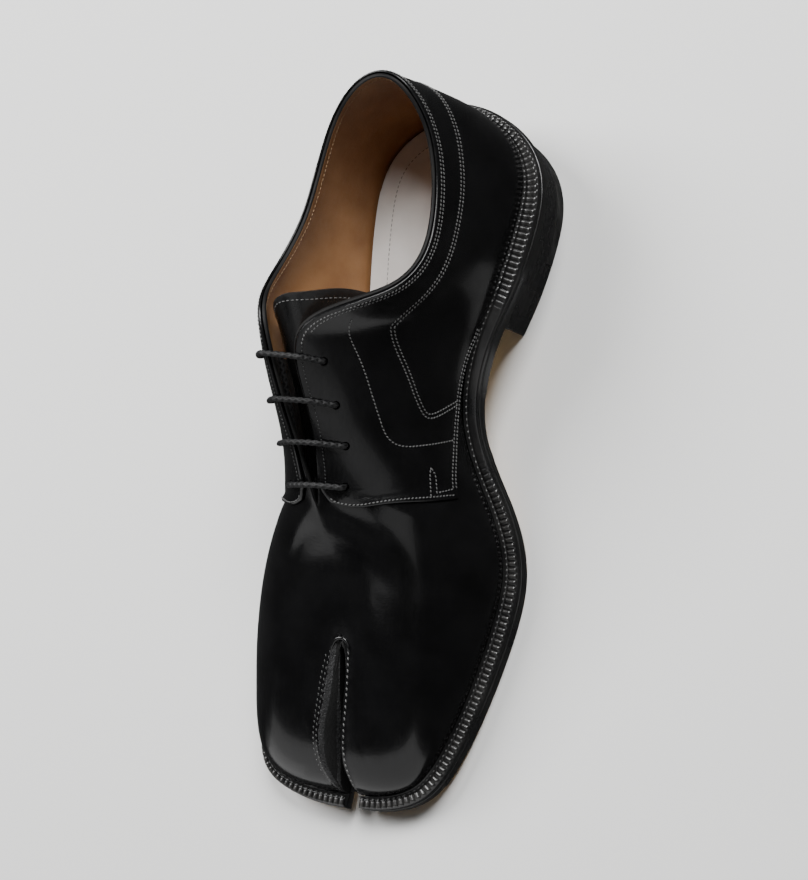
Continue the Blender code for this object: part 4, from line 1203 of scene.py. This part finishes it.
def makeTongue():
    bm = bmesh.new()
    columns, rows = tongue["columns"], tongue["rows"]
    across, up = gridShares(bm, columns, rows)
    column, row = np.round(across * columns).astype(int), np.round(up * rows).astype(int)
    field = np.zeros((rows + 1, columns + 1, 3))
    field[row, column] = tonguePoints(across, up)
    relax(field.swapaxes(0, 1), tongue["passes"][0])  # no bend tighter than the depth it is pushed in
    relax(field, tongue["passes"][1])
    facing = unit(np.cross(np.gradient(field, axis=1), np.gradient(field, axis=0)))
    if facing[..., 2].sum() < 0:
        facing = -facing
    ear = lineThrough(tongue["ear"])
    inside = np.interp(up, ear[::-1, 1], ear[::-1, 0]) - across
    step = np.clip(inside / tongue["earSlope"], 0, 1) * np.clip((up - ear[-1, 1]) / tongue["earFade"], 0, 1)
    depth = np.interp(up, *np.transpose(tongue["depth"])) + tongue["earStep"] * step
    points = field[row, column] - depth[:, None] * facing[row, column]
    setPoints(bm, points)
    bmesh.ops.recalc_face_normals(bm, faces=bm.faces)
    bm.normal_update()
    if sum(face.normal.z for face in bm.faces) < 0:
        bmesh.ops.reverse_faces(bm, faces=bm.faces)
    width, height = tongue["size"]
    edge = np.minimum(np.minimum(across, 1 - across) * width, (1 - up) * height)
    markEdge(bm, np.clip(1 - edge / tongue["rubWidth"], 0, 1) * tongue["rubbing"])
    field[row, column] = points
    piece = addPiece("tongueLeather", bm, (tongueHide, tanLining), "black_tongue_leather", ("tongue",))
    solidify(piece, tongue["thick"], -1, 1, 0)
    soften = piece.modifiers.new("soften", "BEVEL")
    soften.width = tongue["edgeRound"] * mm
    soften.segments = 3
    soften.limit_method = "ANGLE"
    soften.angle_limit = math.radians(tongue["roundAngle"])
    sewTongue(field, facing)


makeTongue()


# lace

lace = {"thick": 2.4, "clear": 0.55, "clearBelow": 0.9, "hiddenInset": 5.0, "hiddenBack": 0.15, "slope": 0.5,
        "hiddenPoints": 6, "halfBarPoints": 4, "runPoints": 5, "cuts": 3, "step": 0.28, "sides": 22,
        "strands": 3, "turn": 2.2, "relief": 0.2}


def laceRoute():  # a hidden run up the medial side, then bars and under-runs to the top
    over = quarter["lift"] + quarter["thick"] + lace["thick"] / 2 + lace["clear"]
    below = -(shoe["wall"] + lace["thick"] / 2 + lace["clearBelow"])

    def lifted(place, rise, height):
        return surface(place, rise) + height * normalAt(place, rise)

    def halfBar(row, side):
        rises = np.linspace(holeRises[row, side], 1, lace["halfBarPoints"])
        return [lifted(holePlaces[row, side], rise, over) for rise in rises]

    def bar(row, first):
        line = np.array(halfBar(row, first) + halfBar(row, 1 - first)[::-1])
        ends = np.argsort(line[[0, -1], 0]) * (len(line) - 1)
        straight = np.interp(line[:, 0], line[ends, 0], line[ends, 1])  # the bar runs straight in plan
        line[:, 2] += lace["slope"] * (straight - line[:, 1])
        line[:, 1] = straight
        return list(line)

    def underRun(stations, side, inset):
        line = stations if side == 0 else 2 * back - stations
        return [lifted(place, riseBelowTop(place, inset), below) for place in line]

    stations = laceHoles["stations"]
    hidden = np.linspace(stations[-1], stations[0] + lace["hiddenBack"], lace["hiddenPoints"])
    route = underRun(hidden, 1, laceHoles["inset"] + lace["hiddenInset"])
    side = 1
    for row, station in enumerate(stations):
        if row:
            between = np.linspace(stations[row - 1], station, lace["runPoints"])[1:-1]
            route += underRun(between, side, laceHoles["inset"])
        route.append(lifted(holePlaces[row, side], holeRises[row, side], below))
        route += bar(row, side)
        side = 1 - side
        route.append(lifted(holePlaces[row, side], holeRises[row, side], below))
    return np.array(route)


def cutCorners(line):
    first, second = 0.75 * line[:-1] + 0.25 * line[1:], 0.25 * line[:-1] + 0.75 * line[1:]
    return np.concatenate([line[:1], np.stack([first, second], axis=1).reshape(-1, 3), line[-1:]])


def makeLace():
    line = laceRoute()
    for _ in range(lace["cuts"]):
        line = cutCorners(line)
    line = evenSteps(line, lace["step"])
    print("lace length", round(float(runsAlong(line)[-1])), "mm")

    def braid(run, angle):  # strands lying over each other both ways
        waves = [np.cos(lace["strands"] * angle + way * lace["turn"] * run) for way in (1, -1)]
        return lace["relief"] * np.maximum(*waves)

    bm = tube(line, lace["thick"] / 2 - lace["relief"], lace["sides"], braid)
    addPiece("waxedLace", bm, (waxedBraid,), "black_waxed_lace", ("lace",))


makeLace()


# seams

seams = {  # place and rise of each row on the lateral side; the medial side repeats it
    "band": ((14.0, .640), (13.4, .655), (12.8, .69), (12.0, .72), (11.5, .728), (10.9, .745), (10.2, .72),
             (9.6, .645), (9.25, .62)),
    "strap": ((9.25, .62), (8.62, .492), (8.3, .445)),
    "strapFoot": ((8.3, .445), (8.06, .41), (7.99, .36), (8.06, .26), (8.16, .15)),
    "flap": ((9.38, .86), (9.0, .76), (8.58, .68), (8.04, .658), (7.75, .64), (7.63, .59), (7.62, .5),
             (7.68, .36), (7.75, .235)),
    "house": ((6.92, .475), (7.25, .452), (7.36, .436), (7.25, .42), (7.0, .437)),
    # stations and distance below the top line
    "facingRow": (7.25, 8.8, 2.6), "collarRows": ((8.8, 14.0, 2.2), (9.0, 14.0, 4.0)),
    "liningRow": (9.1, 14.0, 3.2),
    # places behind the flap's front with the rise where each row ends, then the row along its lower edge
    "frontRows": ((0.07, 0.95), (0.15, 0.43)), "frontStart": 0.34, "frontPoints": 50,
    "lowStations": (7.1, 9.1), "lowInset": 0.028, "lowDouble": -1.7,
    "fine": {"pitch": 1.55, "length": 1.12, "thick": 0.6, "lift": 0.08, "slant": 0.3},
    "bold": {"pitch": 2.5, "length": 1.5, "thick": 0.72, "lift": 0.03, "slant": 0.35},
    "cleftFine": {"pitch": 2.4, "length": 1.3, "thick": 0.6, "lift": 0.02, "slant": 0.45},
    "lining": {"pitch": 1.8, "length": 1.4, "thick": 0.45, "lift": -0.08},
    # side, distance from the roll, whether it starts half a stitch on, and its ends along the shoe
    "cleftRows": (("medial", 0.3, False, (9, 64)), ("medial", 1.9, True, (9, 63)),
                  ("lateral", 0.35, False, (0, 65))),
    "double": 1.6, "shortest": 0.05,
}
seamHeight = quarter["lift"] + quarter["thick"]


def shifted(line, ways, by):  # a second row beside the first
    runs = unit(np.gradient(line, axis=0))
    return line + by * np.cross(ways, runs)


def sewOn(bm, guide, lift, stitch, beside=(0.0,), smooth=True, onFlap=False):
    for medial in (False, True):
        path = lineThrough(guide) if smooth else np.asarray(guide, float)
        places = 2 * back - path[:, 0] if medial else path[:, 0]
        rises = flapRise(places, path[:, 1]) if onFlap else path[:, 1]
        points, ways = onSurface(places, rises, lift)
        for by in beside:
            sew(bm, shifted(points, ways, -by if medial else by), ways, stitch)


def rowBelowTop(first, end, inset, points=60):
    stations = np.linspace(first, end, points)
    return stack(stations, riseBelowTop(stations, inset))


def makeSeams():
    bm, facing, lining = bmesh.new(), bmesh.new(), bmesh.new()
    fine = seams["fine"]
    for name in ("band", "strap", "strapFoot"):
        sewOn(bm, seams[name], seamHeight, fine, (0.0, seams["double"]))
    sewOn(bm, seams["flap"], seamHeight, fine)
    sewOn(bm, seams["house"], seamHeight, fine, smooth=False)
    sewOn(facing, rowBelowTop(*seams["facingRow"]), seamHeight, fine, smooth=False, onFlap=True)
    addPiece("facingStitches", facing, (blackThread,), "black_quarter_leather")
    for row in seams["collarRows"]:
        sewOn(bm, rowBelowTop(*row), seamHeight, fine, smooth=False, onFlap=True)
    for far, top in seams["frontRows"]:
        rises = np.linspace(seams["frontStart"], top, seams["frontPoints"])
        sewOn(bm, stack(flapFront(rises) + far, rises), seamHeight, fine, smooth=False, onFlap=True)
    stations = np.linspace(*seams["lowStations"], seams["frontPoints"])
    sewOn(bm, stack(stations, flapLow(stations) + seams["lowInset"]), seamHeight, fine,
          (0.0, seams["lowDouble"]), smooth=False)
    addPiece("quarterStitches", bm, (greyThread,), "black_quarter_leather")
    sewOn(lining, rowBelowTop(*seams["liningRow"], 80), -shoe["wall"], seams["lining"], smooth=False)
    addPiece("liningStitches", lining, (tanThread,), "black_brushed_leather")


def makeCleftStitches():
    rows = {"medial": bmesh.new(), "lateral": bmesh.new()}
    middle = len(lips) // 2
    for side, gap, late, (low, high) in seams["cleftRows"]:
        medial = side == "medial"
        half = lips[middle:] if medial else lips[:middle][::-1]
        half = half[(half[:, 1] > low) & (half[:, 1] < high)]
        run = unit(np.gradient(half[:, :2], axis=0))
        out = np.stack([np.abs(run[:, 1]) * (-1 if medial else 1), np.abs(run[:, 0])], axis=-1)
        roll = sizeAlong("medialRoll", half[:, 1]) if medial else np.full(len(half), cleft["lateralRoll"])
        line, ways = onVamp(half[:, :2] + out * (roll + gap)[:, None], half[:, 2])
        keep = np.concatenate([[True], np.diff(runsAlong(line)) > seams["shortest"]])
        stitch = seams["cleftFine"] if medial else seams["bold"]
        sew(rows[side], line[keep], ways[keep], {**stitch, "late": late})
    addPiece("cleftMedialStitches", rows["medial"], (dimThread,), "black_brushed_leather")
    addPiece("cleftLateralStitches", rows["lateral"], (greyThread,), "black_brushed_leather")


makeSeams()
makeCleftStitches()


# floor, light and camera

studio = {"floor": 3.0, "floorSides": 96, "floorLow": -0.0002, "floorTone": (.85, .85, .84),
          "floorShade": 0.985, "world": 0.06, "aim": (0, 0, 0.04),
          # name, azimuth from the lateral side, elevation, distance, size, brightness
          "keys": (("heelKey", 70, 52, 1.7, (0.8, 0.8), 20.0), ("medialKey", 158, 46, 1.7, (0.9, 0.9), 15.5)),
          # these show only as reflections in the polish: name, place, what it faces, size, brightness
          "panels": (("toePanel", (-0.05, -0.85, 0.15), (-0.05, 0, 0.15), (2.32, 1.0), 1.15),
                     ("toeMedial", (-0.9, -0.9, 0.0), (-0.03, -0.1, 0.03), (0.6, 0.5), 0.35),
                     ("facingTop", (0.03, -0.077, 0.323), (0.018, -0.037, 0.053), (0.14, 0.2), 0.9),
                     ("facingSide", (0.14, -0.057, 0.208), (-0.024, -0.013, 0.102), (0.12, 0.09), 0.75),
                     ("waistCard", (0.070, 0.060, 0.0005), (0.070, 0.060, 1), (0.026, 0.030), 0.4),
                     ("waistStrip", (0.045, 0.036, 0.0005), (0.045, 0.036, 1), (0.05, 0.012), 0.4))}


def makeFloor():
    bm = bmesh.new()
    bmesh.ops.create_circle(bm, cap_ends=True, segments=studio["floorSides"], radius=studio["floor"])
    made, tree, shader, spot = startMaterial("paleFloorPaint", Specular_IOR_Level=0.2, Roughness=0.7)
    soft = node(tree, "ShaderNodeTexNoise", Vector=spot, Scale=6.0, Detail=2.0)
    tone = studio["floorTone"]
    shade = tuple(c * studio["floorShade"] for c in tone)
    tree.links.new(blendColour(tree, soft.outputs[0], tone, shade), shader.inputs["Base Color"])
    floor = newObject("paleFloor", bm, (made,))
    floor.location.z = studio["floorLow"]
    floor.visible_glossy = False  # the polish mirrors the panels and cards instead


def addLight(name, place, aim, size, radiance, mirrored):
    light = bpy.data.lights.new(name, "AREA")
    light.shape = "RECTANGLE"
    light.size, light.size_y = size
    light.energy = radiance * math.pi * size[0] * size[1]
    lamp = bpy.data.objects.new(name, light)
    lamp.location = place
    lamp.rotation_euler = (Vector(aim) - Vector(place)).to_track_quat("-Z", "Y").to_euler()
    lamp.visible_camera = False
    lamp.visible_diffuse = not mirrored
    bpy.context.scene.collection.objects.link(lamp)


def makeLight():
    world = bpy.data.worlds.new("studio")
    bpy.context.scene.world = world
    world.use_nodes = True
    sky = world.node_tree.nodes["Background"]
    sky.inputs[0].default_value = (1.0, 1.0, 1.0, 1)
    sky.inputs[1].default_value = studio["world"]
    for name, azimuth, elevation, away, size, radiance in studio["keys"]:
        az, el = math.radians(azimuth), math.radians(elevation)
        spot = away * np.array([math.cos(az) * math.cos(el), math.sin(az) * math.cos(el), math.sin(el)])
        addLight(name, spot + studio["aim"], studio["aim"], size, radiance, False)
    for name, place, aim, size, radiance in studio["panels"]:
        addLight(name, place, aim, size, radiance, True)


view = {"place": (0.5197, -0.1036, 1.0516), "azimuth": 75.5, "elevation": 66.0, "roll": -67.5,
        "image": (808, 880), "middle": (257.5, 434.5), "pixels": 2406.0, "closer": 1.2, "sensor": 36.0}


def makeCamera():
    az, el, roll = (math.radians(view[name]) for name in ("azimuth", "elevation", "roll"))
    behind = np.array([math.sin(az) * math.cos(el), -math.cos(az) * math.cos(el), math.sin(el)])
    level = np.array([math.cos(az), math.sin(az), 0])
    upright = np.cross(behind, level)
    right = math.cos(roll) * level + math.sin(roll) * upright
    up = -math.sin(roll) * level + math.cos(roll) * upright
    across, down = (middle - size / 2 for middle, size in zip(view["middle"], view["image"]))
    look = -behind + right * across / view["pixels"] - up * down / view["pixels"]
    behind = unit(-look)
    right = unit(right - behind * (right @ behind))
    up = np.cross(behind, right)
    turn = Matrix((right, up, behind)).transposed().to_4x4()
    lens = bpy.data.cameras.new("shoeCamera")
    lens.sensor_width = view["sensor"]
    lens.lens = view["pixels"] * view["closer"] / max(view["image"]) * view["sensor"]
    camera = bpy.data.objects.new("shoeCamera", lens)
    camera.matrix_world = Matrix.Translation(Vector(view["place"])) @ turn
    bpy.context.scene.collection.objects.link(camera)
    bpy.context.scene.camera = camera


makeFloor()
makeLight()
makeCamera()
